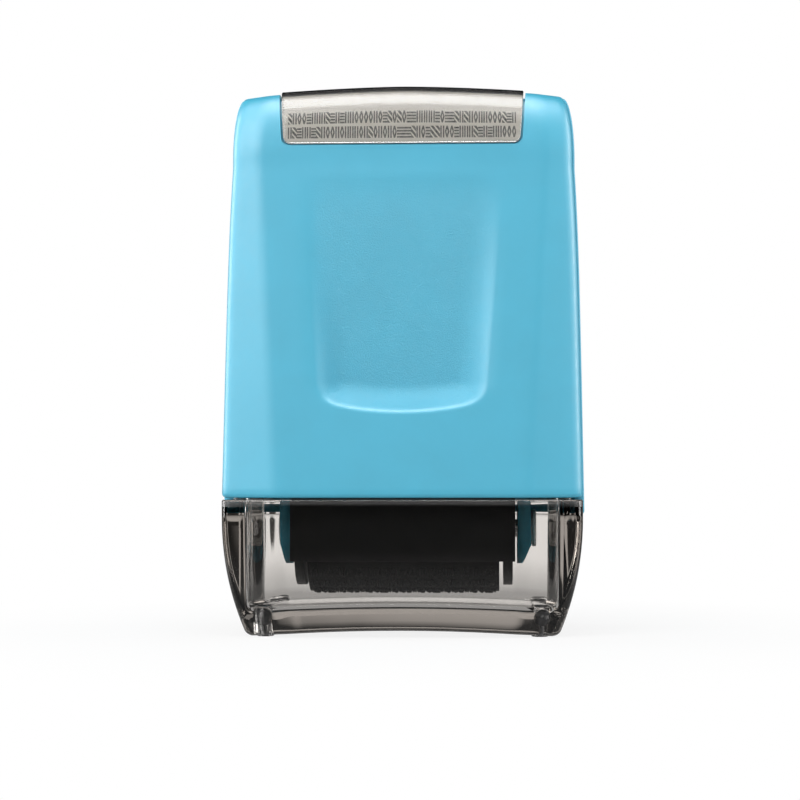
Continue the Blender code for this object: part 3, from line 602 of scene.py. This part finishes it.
def cap_rows(edge_z):
    """Half rings from the outside's foot, up over the ledge and the neck, and down the inside."""
    outside, neck, cavity = CAP_ROWS
    rows = [cap_level(rise, inset) for rise, inset in edge_round(CAP_FOOT_ROUND, CAP_FOOT_STEPS)]
    rows += [cap_level(z, 0.0) for z in spread(CAP_FOOT_ROUND, edge_z - CAP_EDGE_ROUND, outside)]
    edge = edge_round(CAP_EDGE_ROUND, CAP_EDGE_STEPS)[-2::-1]
    rows += [cap_level(edge_z - rise, inset) for rise, inset in edge]
    neck_low_z = CAP_EDGE_Z + NECK_LEAD
    rows += [neck_level(z, 0.0) for z in (edge_z, *spread(edge_z, neck_low_z, 2))]
    rows += [neck_level(z, 0.0) for z in spread(neck_low_z, NECK_TOP_Z - CAP_EDGE_ROUND, neck)]
    rows += [neck_level(NECK_TOP_Z - rise, inset) for rise, inset in edge]
    rows += [cap_level(z, CAP_WALL) for z in (NECK_TOP_Z, *CAVITY_ZS)]
    low_z = CAP_FLOOR_Z + CAVITY_FLOOR_ROUND
    rows += [cap_level(z, CAP_WALL) for z in spread(CAVITY_ZS[-1], low_z, cavity)]
    foot = edge_round(CAVITY_FLOOR_ROUND, CAVITY_FLOOR_STEPS)[-2::-1]
    return rows + [cap_level(CAP_FLOOR_Z + rise, CAP_WALL + inset) for rise, inset in foot]


def whole_row(row):
    """A closed ring of points from its half on the right."""
    return row + [(-x, y, z) for x, y, z in reversed(row[1:-1])]


def close_ring(sheet, ring):
    """Fills a ring with strips across the depth, and one face in each pair of corners."""
    half = len(ring) // 2
    corner = len(CAP_FACE_XS) + 2 * FLAT_STEPS + FACET_STEPS
    for way in (1, -1):
        for k in range(corner - 1):
            near = (ring[way * k], ring[way * (k + 1)])
            sheet.faces.append((*near, ring[way * (half - k - 1)], ring[way * (half - k)]))
        sheet.faces.append([ring[way * k] for k in range(corner - 1, half - corner + 2)])


def foot_outline():
    """(height, radius) points of a corner post."""
    top = [(FOOT_TOP_Z - drop, FOOT_RADIUS - inset) for drop, inset in FOOT_TOP_ROUND]
    low = [(0.0, 0.0), (0.0, FOOT_RADIUS - FOOT_CHAMFER), (FOOT_CHAMFER, FOOT_RADIUS)]
    return [*low, *top, (FOOT_TOP_Z, 0.0)]


def make_cap_skin():
    sheet = Sheet()
    rings = []
    split_y = PARTING_Y - CAP_STEP / 2
    for front_row, rear_row in zip(cap_rows(CAP_EDGE_Z), cap_rows(CAP_REAR_EDGE_Z)):
        row = [front if front[1] < split_y else rear for front, rear in zip(front_row, rear_row)]
        rings.append(sheet.row(whole_row(row)))
    for lower, upper in zip(rings, rings[1:]):
        sheet.bridge(lower, upper, closed=True)
    close_ring(sheet, rings[0])
    close_ring(sheet, rings[-1])
    cap = mesh_piece("cap_skin", sheet.points, sheet.faces, "cap")
    for x in (-FOOT_X, FOOT_X):
        for y in (-FOOT_Y, FOOT_Y):
            combine(cap, turned("foot", foot_outline(), TURNED_SEGMENTS, "Z", (x, y, 0.0), None), "UNION")
    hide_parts("cap")
    return cap


# Turned pieces

def circle(x, radii, centre_z=0.0):
    """Points round a line along X, one for each radius."""
    angles = [math.tau * k / len(radii) for k in range(len(radii))]
    return [(x, r * math.cos(a), centre_z + r * math.sin(a)) for r, a in zip(radii, angles)]


def turned(name, outline, segments, axis, centre, body):
    """A body turned from (along, radius) points: a closed outline, or one that ends on the axis."""
    sheet = Sheet()
    rings = []
    for along, radius in outline:
        rings.append(sheet.row(circle(along, [radius] * (segments if radius else 1))))
    pairs = list(zip(rings, rings[1:]))
    if outline[0][1]:
        pairs.append((rings[-1], rings[0]))
    for first, second in pairs:
        for k in range(segments):
            corners = (first[k % len(first)], first[(k + 1) % len(first)],
                       second[(k + 1) % len(second)], second[k % len(second)])
            sheet.faces.append(tuple(dict.fromkeys(corners)))
    turns = {"Y": (math.pi / 2, "Z"), "Z": (-math.pi / 2, "Y")}
    angle, about = turns[axis]
    place = Matrix.Translation(centre) @ Matrix.Rotation(angle, 4, about)
    points = [place @ Vector(point) for point in sheet.points]
    return mesh_piece(name, points, sheet.faces, body)


def make_foot_pins():
    """Dark pins set in the cap's four corner posts: a ball on a stem."""
    pins = []
    outline = [(PIN_STEM_Z, 0.0), (PIN_STEM_Z, PIN_STEM_RADIUS)]
    for k in range(PIN_STEPS):
        angle = PIN_NECK_ANGLE + (math.pi - PIN_NECK_ANGLE) * k / PIN_STEPS
        outline.append((PIN_BALL_Z - PIN_BALL_RADIUS * math.cos(angle), PIN_BALL_RADIUS * math.sin(angle)))
    outline.append((PIN_BALL_Z + PIN_BALL_RADIUS, 0.0))
    for side, side_word in ((-1, "left"), (1, "right")):
        for way, way_word in ((-1, "front"), (1, "rear")):
            centre = (side * FOOT_X, way * FOOT_Y, 0.0)
            name = f"foot_pin_{way_word}_{side_word}"
            pins.append(turned(name, outline, PIN_SEGMENTS, "Z", centre, "cap"))
    return pins


def make_posts():
    """The two posts inside the rear shell that take the chassis screws."""
    start, end = POST_Y
    outline = [(start, POST_BORE), (start, POST_RADIUS - POST_CHAMFER), (start + POST_CHAMFER, POST_RADIUS)]
    outline += [(end, POST_RADIUS), (end, POST_BORE)]
    posts = []
    for side, word in ((-1, "left"), (1, "right")):
        centre = (side * POST_X, 0.0, POST_Z)
        posts.append(turned(f"screw_post_{word}", outline, TURNED_SEGMENTS, "Y", centre, "handle"))
    return posts


# Print sleeve and foam sleeves

def relief_height(across, round_share):
    """Raised masking pattern of the print sleeve, from 0 to 1: bars and slants in staggered rows."""
    row = round_share * RELIEF_ROWS
    row_place = row % 1
    if row_place < RELIEF_ROW[0] or row_place > RELIEF_ROW[1]:
        return 0.0
    bar = across / RELIEF_BAR + 0.5 * (int(row) % 2)
    kind = (int(bar) * 7 + int(row) * 3) % 5
    place = bar % 1
    if kind == 0:
        return 1.0 if abs(row_place - 0.53) < 0.14 and place < 0.8 else 0.0
    if kind in (1, 3):
        return 1.0 if place < 0.3 or 0.45 < place < 0.75 else 0.0
    return 1.0 if (place + row_place * (1 if kind == 2 else -1)) % 1 < 0.42 else 0.0


def tube_piece(name, skin, half, inner, centre_z, body, sharp):
    """A tube along X from the (x, radii) of the rings on its outside."""
    sheet = Sheet()
    bore = [inner] * len(skin[0][1])
    rings = [sheet.row(circle(x, radii, centre_z)) for x, radii in (*skin, (half, bore), (-half, bore))]
    for first, second in zip(rings, rings[1:] + rings[:1]):
        sheet.bridge(first, second, closed=True)
    return mesh_piece(name, sheet.points, sheet.faces, body, sharp)


def make_sleeve():
    """The rubber print sleeve with its relief."""
    along, around = RELIEF_STEPS
    base = SLEEVE_RADIUS - RELIEF_BASE
    reach = SLEEVE_HALF - RELIEF_MARGIN
    skin = []
    for x in (-SLEEVE_HALF, *(-reach + 2 * reach * k / along for k in range(along + 1)), SLEEVE_HALF):
        raised = [0.0] * around
        if abs(x) < reach - 0.1:
            raised = [relief_height(x + SLEEVE_HALF, k / around) for k in range(around)]
        skin.append((x, [base + RELIEF_DEPTH * height for height in raised]))
    inner = SLEEVE_RADIUS - SLEEVE_WALL
    sleeve = tube_piece("relief_sleeve", skin, SLEEVE_HALF, inner, AXLE_Z, "roller", 50.0)
    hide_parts("print_sleeve")
    return sleeve


def foam_tube(name, node, radii, half, centre_z, body):
    """A foam sleeve with softly rounded, slightly uneven skin."""
    rng = np.random.default_rng(7)
    inner, outer = radii
    along, around = FOAM_STEPS
    round_along, round_in = FOAM_ROUND
    skin = []
    for k in range(along + 1):
        x = -half + 2 * half * k / along
        end = min(half - abs(x), round_along) / round_along
        rim = round_in * (1 - math.sqrt(max(1 - (1 - end) ** 2, 0.0)))
        skin.append((x, outer - rim - FOAM_ROUGH * rng.random(around)))
    tube = tube_piece(name, skin, half, inner, centre_z, body, 60.0)
    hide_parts(node)
    return tube


# Materials

BLUE = (0.054, 0.443, 0.632)
# The chassis's blue plastic, darkened as painted shade for where it stands inside the cap
SHADED_BLUE = (0.022, 0.18, 0.25)
BLACK = (0.007, 0.007, 0.0075)
WHITE = (0.76, 0.76, 0.73)
STEEL = (0.6, 0.6, 0.61)
RUBBER = (0.004, 0.0038, 0.0037)
FOOT_PIN = (0.03, 0.031, 0.034)
INKED_FOAM = (0.03, 0.03, 0.035)
CUSHION_FOAM = (0.16, 0.16, 0.165)
LENS = (0.97, 0.975, 0.97, 1.0)
SMOKE_SURFACE = ((0.985, 0.968, 0.95), (1.0, 0.985, 0.967))
SMOKE_TINT = (0.53, 0.492, 0.455, 1.0)
SMOKE_DENSITY = 63.0
# The label's own silver over its top, darkened and browned as painted shade of the top's round
SHADED_SILVER = ((0.4, 0.355, 0.3), (0.46, 0.42, 0.36))
LABEL_GROUND = ((0.68, 0.63, 0.56), (0.78, 0.74, 0.67))  # behind the printed rows
LABEL_INK = (0.03, 0.027, 0.025)
LABEL_ROWS = ((0.85, 2.9), (3.45, 5.6))  # heights of the two printed rows on the label
SHADE_EDGE = (5.4, 6.6)  # the ground goes over into the silver with its painted shade between these heights
MARK_WIDTH = 0.8
MARK_LIMITS = (-1.0, 0.42, 0.68, 0.86, 2.0)  # a random value from 0 to 1 picks one of four marks
LABEL_MARGIN_X = 19.1


class Nodes:
    """Puts shader nodes into one node tree."""

    def __init__(self, tree):
        self.tree = tree

    def node(self, kind, values=None, **settings):
        """Adds a node with these settings and input values."""
        node = self.tree.nodes.new(kind)
        for key, value in settings.items():
            setattr(node, key, value)
        for socket, value in (values or {}).items():
            node.inputs[socket].default_value = value
        return node

    def link(self, source, target):
        self.tree.links.new(source, target)

    def math(self, operation, first, second=None):
        node = self.node("ShaderNodeMath", operation=operation)
        for socket, value in zip(node.inputs, (first, second)):
            if isinstance(value, (int, float)):
                socket.default_value = value
            elif value is not None:
                self.link(value, socket)
        return node.outputs[0]

    def times(self, first, second):
        return self.math("MULTIPLY", first, second)

    def plus(self, first, second):
        return self.math("ADD", first, second)

    def map_range(self, source, start, end, low, high, curve="LINEAR"):
        """Maps start to low and end to high, and stays at them beyond."""
        values = {"From Min": start, "From Max": end, "To Min": low, "To Max": high}
        node = self.node("ShaderNodeMapRange", values, interpolation_type=curve)
        self.link(source, node.inputs["Value"])
        return node.outputs["Result"]

    def split(self, vector):
        node = self.node("ShaderNodeSeparateXYZ")
        self.link(vector, node.inputs[0])
        return node.outputs


class Look(Nodes):
    """A node material with one Principled shader."""

    def __init__(self, name):
        self.material = bpy.data.materials.new(name)
        self.material.use_nodes = True
        super().__init__(self.material.node_tree)
        self.shader = self.tree.nodes["Principled BSDF"]
        self.place = self.node("ShaderNodeTexCoord").outputs["Object"]

    def put(self, socket, value):
        self.shader.inputs[socket].default_value = value

    def feed(self, source, socket):
        self.link(source, self.shader.inputs[socket])

    def noise(self, per_mm, detail=3.0, roughness=0.55, stretch=None):
        """Noise with about this many features in a millimetre."""
        source = self.place
        if stretch:
            mapping = self.node("ShaderNodeMapping", {"Scale": stretch})
            self.link(source, mapping.inputs["Vector"])
            source = mapping.outputs["Vector"]
        values = {"Scale": per_mm / MM, "Detail": detail, "Roughness": roughness}
        noise = self.node("ShaderNodeTexNoise", values)
        self.link(source, noise.inputs["Vector"])
        return noise.outputs["Fac"]

    def ramp(self, source, low, high, start=0.3, end=0.7):
        """Maps a value, most often a noise, onto a range of numbers."""
        return self.map_range(source, start, end, low, high)

    def mix(self, share, first, second):
        """Mixes two colours, given as sockets or as tuples."""
        node = self.node("ShaderNodeMix", data_type="RGBA")
        self.link(share, node.inputs["Factor"])
        for socket, value in ((node.inputs[6], first), (node.inputs[7], second)):
            if isinstance(value, tuple):
                socket.default_value = (*value, 1.0)
            else:
                self.link(value, socket)
        return node.outputs[2]

    def attribute(self, name, output="Fac"):
        return self.node("ShaderNodeAttribute", attribute_name=name).outputs[output]

    def bump(self, height, distance_mm):
        node = self.node("ShaderNodeBump", {"Distance": distance_mm * MM, "Strength": 1.0})
        self.link(height, node.inputs["Height"])
        self.feed(node.outputs["Normal"], "Normal")


def mottled(look, colour, change, per_mm):
    """Gives a look its colour with a slight mottling."""
    dark = tuple(c * (1 - change) for c in colour)
    light = tuple(min(c * (1 + change), 1.0) for c in colour)
    look.feed(look.mix(look.ramp(look.noise(per_mm), 0.0, 1.0), dark, light), "Base Color")


def dull_look(name, colour, mottle, specular, grain, roughness):
    """A dull moulded surface.

    Mottle: (change, per mm). Grain: (per mm, detail, depth). Roughness: (per mm, least, most).
    """
    look = Look(name)
    mottled(look, colour, *mottle)
    look.put("Specular IOR Level", specular)
    per_mm, detail, depth = grain
    look.bump(look.noise(per_mm, detail), depth)
    per_mm, least, most = roughness
    look.feed(look.ramp(look.noise(per_mm), least, most), "Roughness")
    return look.material


def blue_plastic():
    look = Look("blue_plastic")
    mottled(look, BLUE, 0.03, 0.12)
    look.put("IOR", 1.58)
    look.put("Specular IOR Level", 0.85)
    grain = look.attribute("grain")
    fine = look.noise(4.5, 4.0, 0.7)
    swirl = look.noise(0.9, 2.0)
    satin = look.times(swirl, 0.25)
    coarse = look.times(fine, look.times(grain, 4.5))
    faint = look.times(fine, 0.14)
    height = look.plus(look.plus(satin, coarse), faint)
    look.bump(height, 0.035)
    look.feed(look.plus(look.ramp(swirl, 0.34, 0.42), look.times(grain, 0.12)), "Roughness")
    return look.material


def white_plastic():
    look = Look("white_plastic")
    mottled(look, WHITE, 0.03, 0.4)
    look.put("Roughness", 0.38)
    look.bump(look.noise(3.0), 0.01)
    look.put("Subsurface Weight", 0.15)
    look.put("Subsurface Radius", (0.001, 0.0009, 0.0008))
    return look.material


def steel():
    look = Look("drawn_steel")
    mottled(look, STEEL, 0.06, 0.7)
    look.put("Metallic", 1.0)
    streaks = look.noise(6.0, 3.0, 0.6, (0.06, 1.0, 1.0))
    look.feed(look.ramp(streaks, 0.18, 0.32), "Roughness")
    look.bump(streaks, 0.006)
    return look.material


def foam(name, colour):
    """Open cells, with painted shade in their depth."""
    look = Look(name)
    look.put("Roughness", 0.95)
    cells = look.node("ShaderNodeTexVoronoi", {"Scale": 3.4 / MM})
    look.link(look.place, cells.inputs["Vector"])
    depth = look.ramp(cells.outputs["Distance"], 0.0, 1.0, 0.0, 0.7)
    # painted shade: the pits of the cells are darkened
    dark = tuple(c * 0.35 for c in colour)
    look.feed(look.mix(depth, dark, colour), "Base Color")
    look.bump(depth, 0.12)
    return look.material


def smoky_plastic():
    """Clear tinted plastic: the tint is in its thickness."""
    look = Look("smoky_plastic")
    look.put("Transmission Weight", 1.0)
    look.put("IOR", 1.49)
    look.put("Specular IOR Level", 0.42)
    look.feed(look.ramp(look.noise(0.25), 0.012, 0.035), "Roughness")
    look.feed(look.mix(look.ramp(look.noise(0.08), 0.0, 1.0), *SMOKE_SURFACE), "Base Color")
    look.bump(look.noise(0.12, 1.0), 0.03)
    volume = look.node("ShaderNodeVolumeAbsorption", {"Color": SMOKE_TINT, "Density": SMOKE_DENSITY})
    look.link(volume.outputs["Volume"], look.tree.nodes["Material Output"].inputs["Volume"])
    return look.material


def clear_lens():
    look = Look("clear_lens")
    look.put("Transmission Weight", 1.0)
    look.put("IOR", 1.47)
    look.put("Specular IOR Level", 0.2)
    look.put("Base Color", LENS)
    look.feed(look.ramp(look.noise(0.4), 0.03, 0.07), "Roughness")
    look.bump(look.noise(0.2, 1.0), 0.01)
    return look.material


def foot_plastic():
    look = Look("foot_pin")
    mottled(look, FOOT_PIN, 0.2, 0.6)
    look.put("Roughness", 0.3)
    look.bump(look.noise(2.0), 0.01)
    return look.material


def between(look, value, low, high):
    """1 where the value lies between two numbers, else 0."""
    above = look.math("GREATER_THAN", value, low)
    return look.times(above, look.math("LESS_THAN", value, high))


def row_marks(look, across, up, low, high, seed):
    """Share of ink in one row of the masking pattern: upright bars, lozenges, hatching and rungs."""
    cell = look.math("DIVIDE", across, MARK_WIDTH)
    index = look.node("ShaderNodeTexWhiteNoise", noise_dimensions="1D")
    look.link(look.plus(look.math("FLOOR", cell), seed), index.inputs["W"])
    kind = index.outputs["Value"]
    a = look.math("ABSOLUTE", look.math("SUBTRACT", look.math("FRACT", cell), 0.5))
    rise = look.math("DIVIDE", look.math("SUBTRACT", up, low), high - low)
    b = look.math("ABSOLUTE", look.math("SUBTRACT", rise, 0.5))
    bars = between(look, a, 0.12, 0.42)
    lozenge = between(look, look.plus(a, look.times(b, 0.62)), 0.16, 0.46)
    slant = look.math("FRACT", look.plus(cell, look.times(rise, 2.0)))
    hatch = look.math("LESS_THAN", slant, 0.6)
    rungs = look.math("LESS_THAN", look.math("FRACT", look.times(rise, 4.0)), 0.62)
    marks = 0.0
    for mark, least, most in zip((bars, lozenge, hatch, rungs), MARK_LIMITS, MARK_LIMITS[1:]):
        marks = look.plus(look.times(mark, between(look, kind, least, most)), marks)
    return look.times(marks, between(look, up, low, high))


def silver_label():
    look = Look("silver_label")
    across, up = look.split(look.attribute("label_map", "Vector"))[:2]
    marks = 0.0
    for seed, (low, high) in enumerate(LABEL_ROWS):
        row = row_marks(look, across, up, low, high, 31.0 * seed + 0.5)
        marks = look.plus(row, marks)
    marks = look.times(marks, look.math("LESS_THAN", look.math("ABSOLUTE", across), LABEL_MARGIN_X))
    marks = look.times(marks, look.ramp(look.noise(2.2), 0.7, 1.0))
    streaks = look.noise(2.5, 3.0, 0.6, (0.05, 1.0, 1.0))
    # the plain silver holds painted shade of the top's round
    shaded_silver = look.mix(look.ramp(streaks, 0.0, 1.0), *SHADED_SILVER)
    ground = look.mix(look.ramp(streaks, 0.0, 1.0), *LABEL_GROUND)
    plain = look.mix(look.ramp(up, 0.0, 1.0, *SHADE_EDGE), ground, shaded_silver)
    look.feed(look.mix(marks, plain, LABEL_INK), "Base Color")
    look.feed(look.times(look.math("SUBTRACT", 1.0, marks), 0.03), "Metallic")
    look.feed(look.ramp(streaks, 0.42, 0.55), "Roughness")
    look.put("Specular IOR Level", 0.15)
    look.bump(streaks, 0.004)
    return look.material


# Stage

WORLD_LIGHT = 0.41  # on dull surfaces
ROOM_DIM = 0.035  # what polished surfaces show of the room in front of the object
FRONT_GLOW = 1.25  # and of its brighter part above the camera
PANEL_GLOW = 4.8  # and of the panel over the object
RIGHT_GLOW = 1.7  # and of its sides, where they are mirrored
LEFT_GLOW = 2.6
FLOOR_REACH = 4000.0  # millimetres
FLOOR_GREY = 0.87
GLOW_NEAR = 0.85  # share of white light of its own that the floor shows next to the object
GLOW_BENT = 0.97  # and where it is mirrored or bent
LIGHT_AIM = (0.0, 0.0, 0.045)
LIGHTS = (
    ("key", (-0.50, -0.62, 0.50), (0.5, 0.5), 3.0),
    ("overhead", (0.0, -0.28, 0.78), (0.5, 0.35), 1.8),
    ("left_edge", (-0.7, 0.15, 0.2), (0.25, 0.6), 2.0),
    ("right_edge", (0.7, 0.05, 0.2), (0.25, 0.6), 2.0),
)
CAMERA_PLACE = (0.0147, -0.3833, 0.0281)
CAMERA_AIM = (-0.0001, -0.02, 0.0392)
CAMERA_ROLL = -0.05  # degrees
PIXELS_PER_MM = 6.085  # at the aim point, across 800 pixels


def add_area(name, place, size, watts):
    light = bpy.data.lights.new(name, "AREA")
    light.shape = "RECTANGLE"
    light.size, light.size_y = size
    light.energy = watts
    obj = bpy.data.objects.new(name, light)
    obj.location = place
    obj.rotation_euler = (Vector(LIGHT_AIM) - Vector(place)).to_track_quat("-Z", "Y").to_euler()
    bpy.context.scene.collection.objects.link(obj)


class Studio(Nodes):
    """Nodes of the world or the floor that tell what kind of ray sees them."""

    def __init__(self, tree):
        super().__init__(tree)
        self.path = self.node("ShaderNodeLightPath").outputs
        self.camera = self.path["Is Camera Ray"]

    def fade(self, source, start, end, low, high):
        return self.map_range(source, start, end, low, high, "SMOOTHSTEP")

    def mix(self, share, first, second):
        rest = self.times(self.math("SUBTRACT", 1.0, share), first)
        return self.plus(rest, self.times(share, second))

    def seen(self):
        """1 for rays from the camera, a mirror-like or a clear surface, before they light a dull one."""
        straight = self.math("MAXIMUM", self.camera, self.path["Is Transmission Ray"])
        shown = self.math("MAXIMUM", straight, self.path["Is Glossy Ray"])
        return self.times(shown, self.math("LESS_THAN", self.path["Diffuse Depth"], 0.5))


def make_world():
    """White behind the object, bright above its front, and dim elsewhere where it is mirrored or bent."""
    world = bpy.data.worlds.new("studio")
    bpy.context.scene.world = world
    world.use_nodes = True
    world.node_tree.nodes.clear()
    studio = Studio(world.node_tree)
    across, along, up = studio.split(studio.node("ShaderNodeTexCoord").outputs["Generated"])
    behind = studio.fade(along, 0.972, 0.99, ROOM_DIM, 1.0)
    rising = studio.fade(up, 0.03, 0.2, 0.0, FRONT_GLOW)
    upper_front = studio.times(rising, studio.fade(up, 0.22, 0.34, 1.0, 0.6))
    lit = studio.plus(upper_front, studio.fade(up, 0.6, 0.9, 0.0, PANEL_GLOW))
    overhead = studio.fade(up, 0.9, 1.0, 1.0, 0.7)
    front = studio.fade(along, -0.35, 0.3, 1.0, 0.0)
    above = studio.times(studio.times(lit, overhead), front)
    right = studio.fade(across, 0.55, 0.85, 0.0, RIGHT_GLOW)
    left = studio.fade(studio.times(across, -1.0), 0.55, 0.85, 0.0, LEFT_GLOW)
    mirrored = studio.times(studio.plus(left, right), studio.path["Is Glossy Ray"])
    bent = studio.plus(studio.plus(behind, above), mirrored)
    shown = studio.mix(studio.camera, bent, 1.0)
    background = studio.node("ShaderNodeBackground", {"Color": (1.0, 1.0, 1.0, 1.0)})
    studio.link(studio.mix(studio.seen(), WORLD_LIGHT, shown), background.inputs["Strength"])
    studio.link(background.outputs[0], studio.node("ShaderNodeOutputWorld").inputs["Surface"])


def make_floor():
    """A pale floor that runs out into the white background and keeps a soft shadow."""
    sheet = Sheet()
    corners = ((-1, -1), (1, -1), (1, 1), (-1, 1))
    sheet.faces.append(sheet.row([(x * FLOOR_REACH, y * FLOOR_REACH, 0) for x, y in corners]))
    floor = mesh_piece("floor", sheet.points, sheet.faces, None)
    material = bpy.data.materials.new("floor")
    material.use_nodes = True
    studio = Studio(material.node_tree)
    shader = studio.tree.nodes["Principled BSDF"]
    shader.inputs["Base Color"].default_value = (FLOOR_GREY, FLOOR_GREY, FLOOR_GREY, 1.0)
    shader.inputs["Roughness"].default_value = 0.9
    shader.inputs["Specular IOR Level"].default_value = 0.0
    place = studio.node("ShaderNodeTexCoord").outputs["Object"]
    length = studio.node("ShaderNodeVectorMath", operation="LENGTH")
    studio.link(place, length.inputs[0])
    share = studio.fade(length.outputs["Value"], 0.03, 0.11, GLOW_NEAR, 1.0)
    across, along = studio.split(place)[:2]
    rear = studio.fade(along, -0.1, 0.0, ROOM_DIM, 1.0)
    # painted shadow: the glow that mirrors and the cap show is dimmed just behind the object
    painted_shadow_behind = studio.fade(along, 0.03, 0.36, 0.4, 1.0)
    aside = studio.math("SUBTRACT", studio.math("ABSOLUTE", across), studio.times(along, 0.12))
    beside = studio.fade(aside, 0.05, 0.14, 1.0, ROOM_DIM)
    glow = studio.node("ShaderNodeEmission")
    bent = studio.times(studio.times(rear, beside), painted_shadow_behind)
    studio.link(studio.mix(studio.camera, bent, 1.0), glow.inputs["Strength"])
    mix = studio.node("ShaderNodeMixShader")
    glowing = studio.mix(studio.camera, GLOW_BENT, share)
    studio.link(studio.times(studio.seen(), glowing), mix.inputs[0])
    studio.link(shader.outputs[0], mix.inputs[1])
    studio.link(glow.outputs[0], mix.inputs[2])
    studio.link(mix.outputs[0], studio.tree.nodes["Material Output"].inputs["Surface"])
    floor.data.materials.append(material)


def make_camera():
    camera = bpy.data.cameras.new("camera")
    camera.sensor_width = 36.0
    sight = Vector(CAMERA_AIM) - Vector(CAMERA_PLACE)
    camera.lens = camera.sensor_width * PIXELS_PER_MM * sight.length / MM / 800
    camera.clip_start = 0.01
    obj = bpy.data.objects.new("camera", camera)
    roll = Matrix.Rotation(math.radians(CAMERA_ROLL), 3, "Z")
    turn = sight.to_track_quat("-Z", "Y").to_matrix() @ roll
    obj.matrix_world = Matrix.Translation(CAMERA_PLACE) @ turn.to_4x4()
    bpy.context.scene.collection.objects.link(obj)
    bpy.context.scene.camera = obj


# Putting it together

def dress(obj, material):
    obj.data.materials.clear()
    obj.data.materials.append(material)


def dress_skins(blue, rubber):
    """Materials of the pieces that stand in for the solids of the frame."""
    front, rear, plate, window = make_handle_skins()
    ink_foam = foam_tube("ink_foam_skin", "ink_foam", INK_FOAM_RADII, INK_FOAM_HALF, INK_AXLE_Z, "ink_roller")
    cushion = foam_tube("cushion_skin", "cushion_sleeve", CUSHION_RADII, CUSHION_HALF, AXLE_Z, "roller")
    pieces = [
        (front, blue, "blue_plastic"),
        (rear, blue, "blue_plastic"),
        (plate, silver_label(), "silver_label"),
        (window, clear_lens(), "clear_lens"),
        (make_cap_skin(), smoky_plastic(), "smoky_plastic"),
        (make_sleeve(), rubber, "print_rubber"),
        (ink_foam, foam("ink_foam", INKED_FOAM), "foam"),
        (cushion, foam("cushion_foam", CUSHION_FOAM), "foam"),
    ]
    pieces += [(post, blue, "blue_plastic") for post in make_posts()]
    pins = foot_plastic()
    pieces += [(pin, pins, "print_rubber") for pin in make_foot_pins()]
    for obj, material, slot in pieces:
        dress(obj, material)


def soften_edges(node, width):
    """Rounds the sharp edges of a carried-over solid as it is shown."""
    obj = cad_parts[node]
    weld = obj.modifiers.new("weld", "WELD")
    weld.merge_threshold = 0.01 * MM
    bevel = obj.modifiers.new("bevel", "BEVEL")
    bevel.width = width * MM
    bevel.segments = 2
    bevel.limit_method = "ANGLE"
    bevel.angle_limit = math.radians(40)
    bevel.harden_normals = True
    obj.data.shade_smooth()


def dress_nodes(rubber):
    """Materials of the solids that stay, and how wide their softened edges are."""
    black = dull_look("black_plastic", BLACK, (0.15, 0.3), 0.2, (5.0, 3.0, 0.012), (0.8, 0.34, 0.46))
    shaded_blue = dull_look("teal_plastic", SHADED_BLUE, (0.08, 0.2), 0.3, (2.5, 3.0, 0.012), (0.8, 0.4, 0.5))
    white = white_plastic()
    metal = steel()
    nodes = {
        # the chassis wears a darker copy of the blue plastic: painted shade
        "chassis": (shaded_blue, 0.25),
        "cartridge_frame": (black, 0.18),
        "roller_core": (black, 0.15),
        "ink_plug": (rubber, 0.2),
        "ink_core": (white, 0.15),
        "roller_axle": (metal, 0.0),
        "ink_axle": (metal, 0.1),
    }
    for side in ("left", "right"):
        nodes[f"axle_bush_{side}"] = (white, 0.1)
        nodes[f"ink_block_{side}"] = (white, 0.15)
        nodes[f"roller_hub_{side}"] = (white, 0.15)
        nodes[f"chassis_screw_{side}"] = (metal, 0.0)
        nodes[f"ink_spring_{side}"] = (metal, 0.0)
    for node, (material, width) in nodes.items():
        dress(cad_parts[node], material)
        if width:
            soften_edges(node, width)


def main():
    bpy.context.scene.view_settings.view_transform = "Standard"
    rubber = dull_look("print_rubber", RUBBER, (0.2, 0.9), 0.05, (7.0, 4.0, 0.02), (1.2, 0.45, 0.65))
    dress_skins(blue_plastic(), rubber)
    dress_nodes(rubber)
    make_world()
    make_floor()
    make_camera()
    for light in LIGHTS:
        add_area(*light)


main()
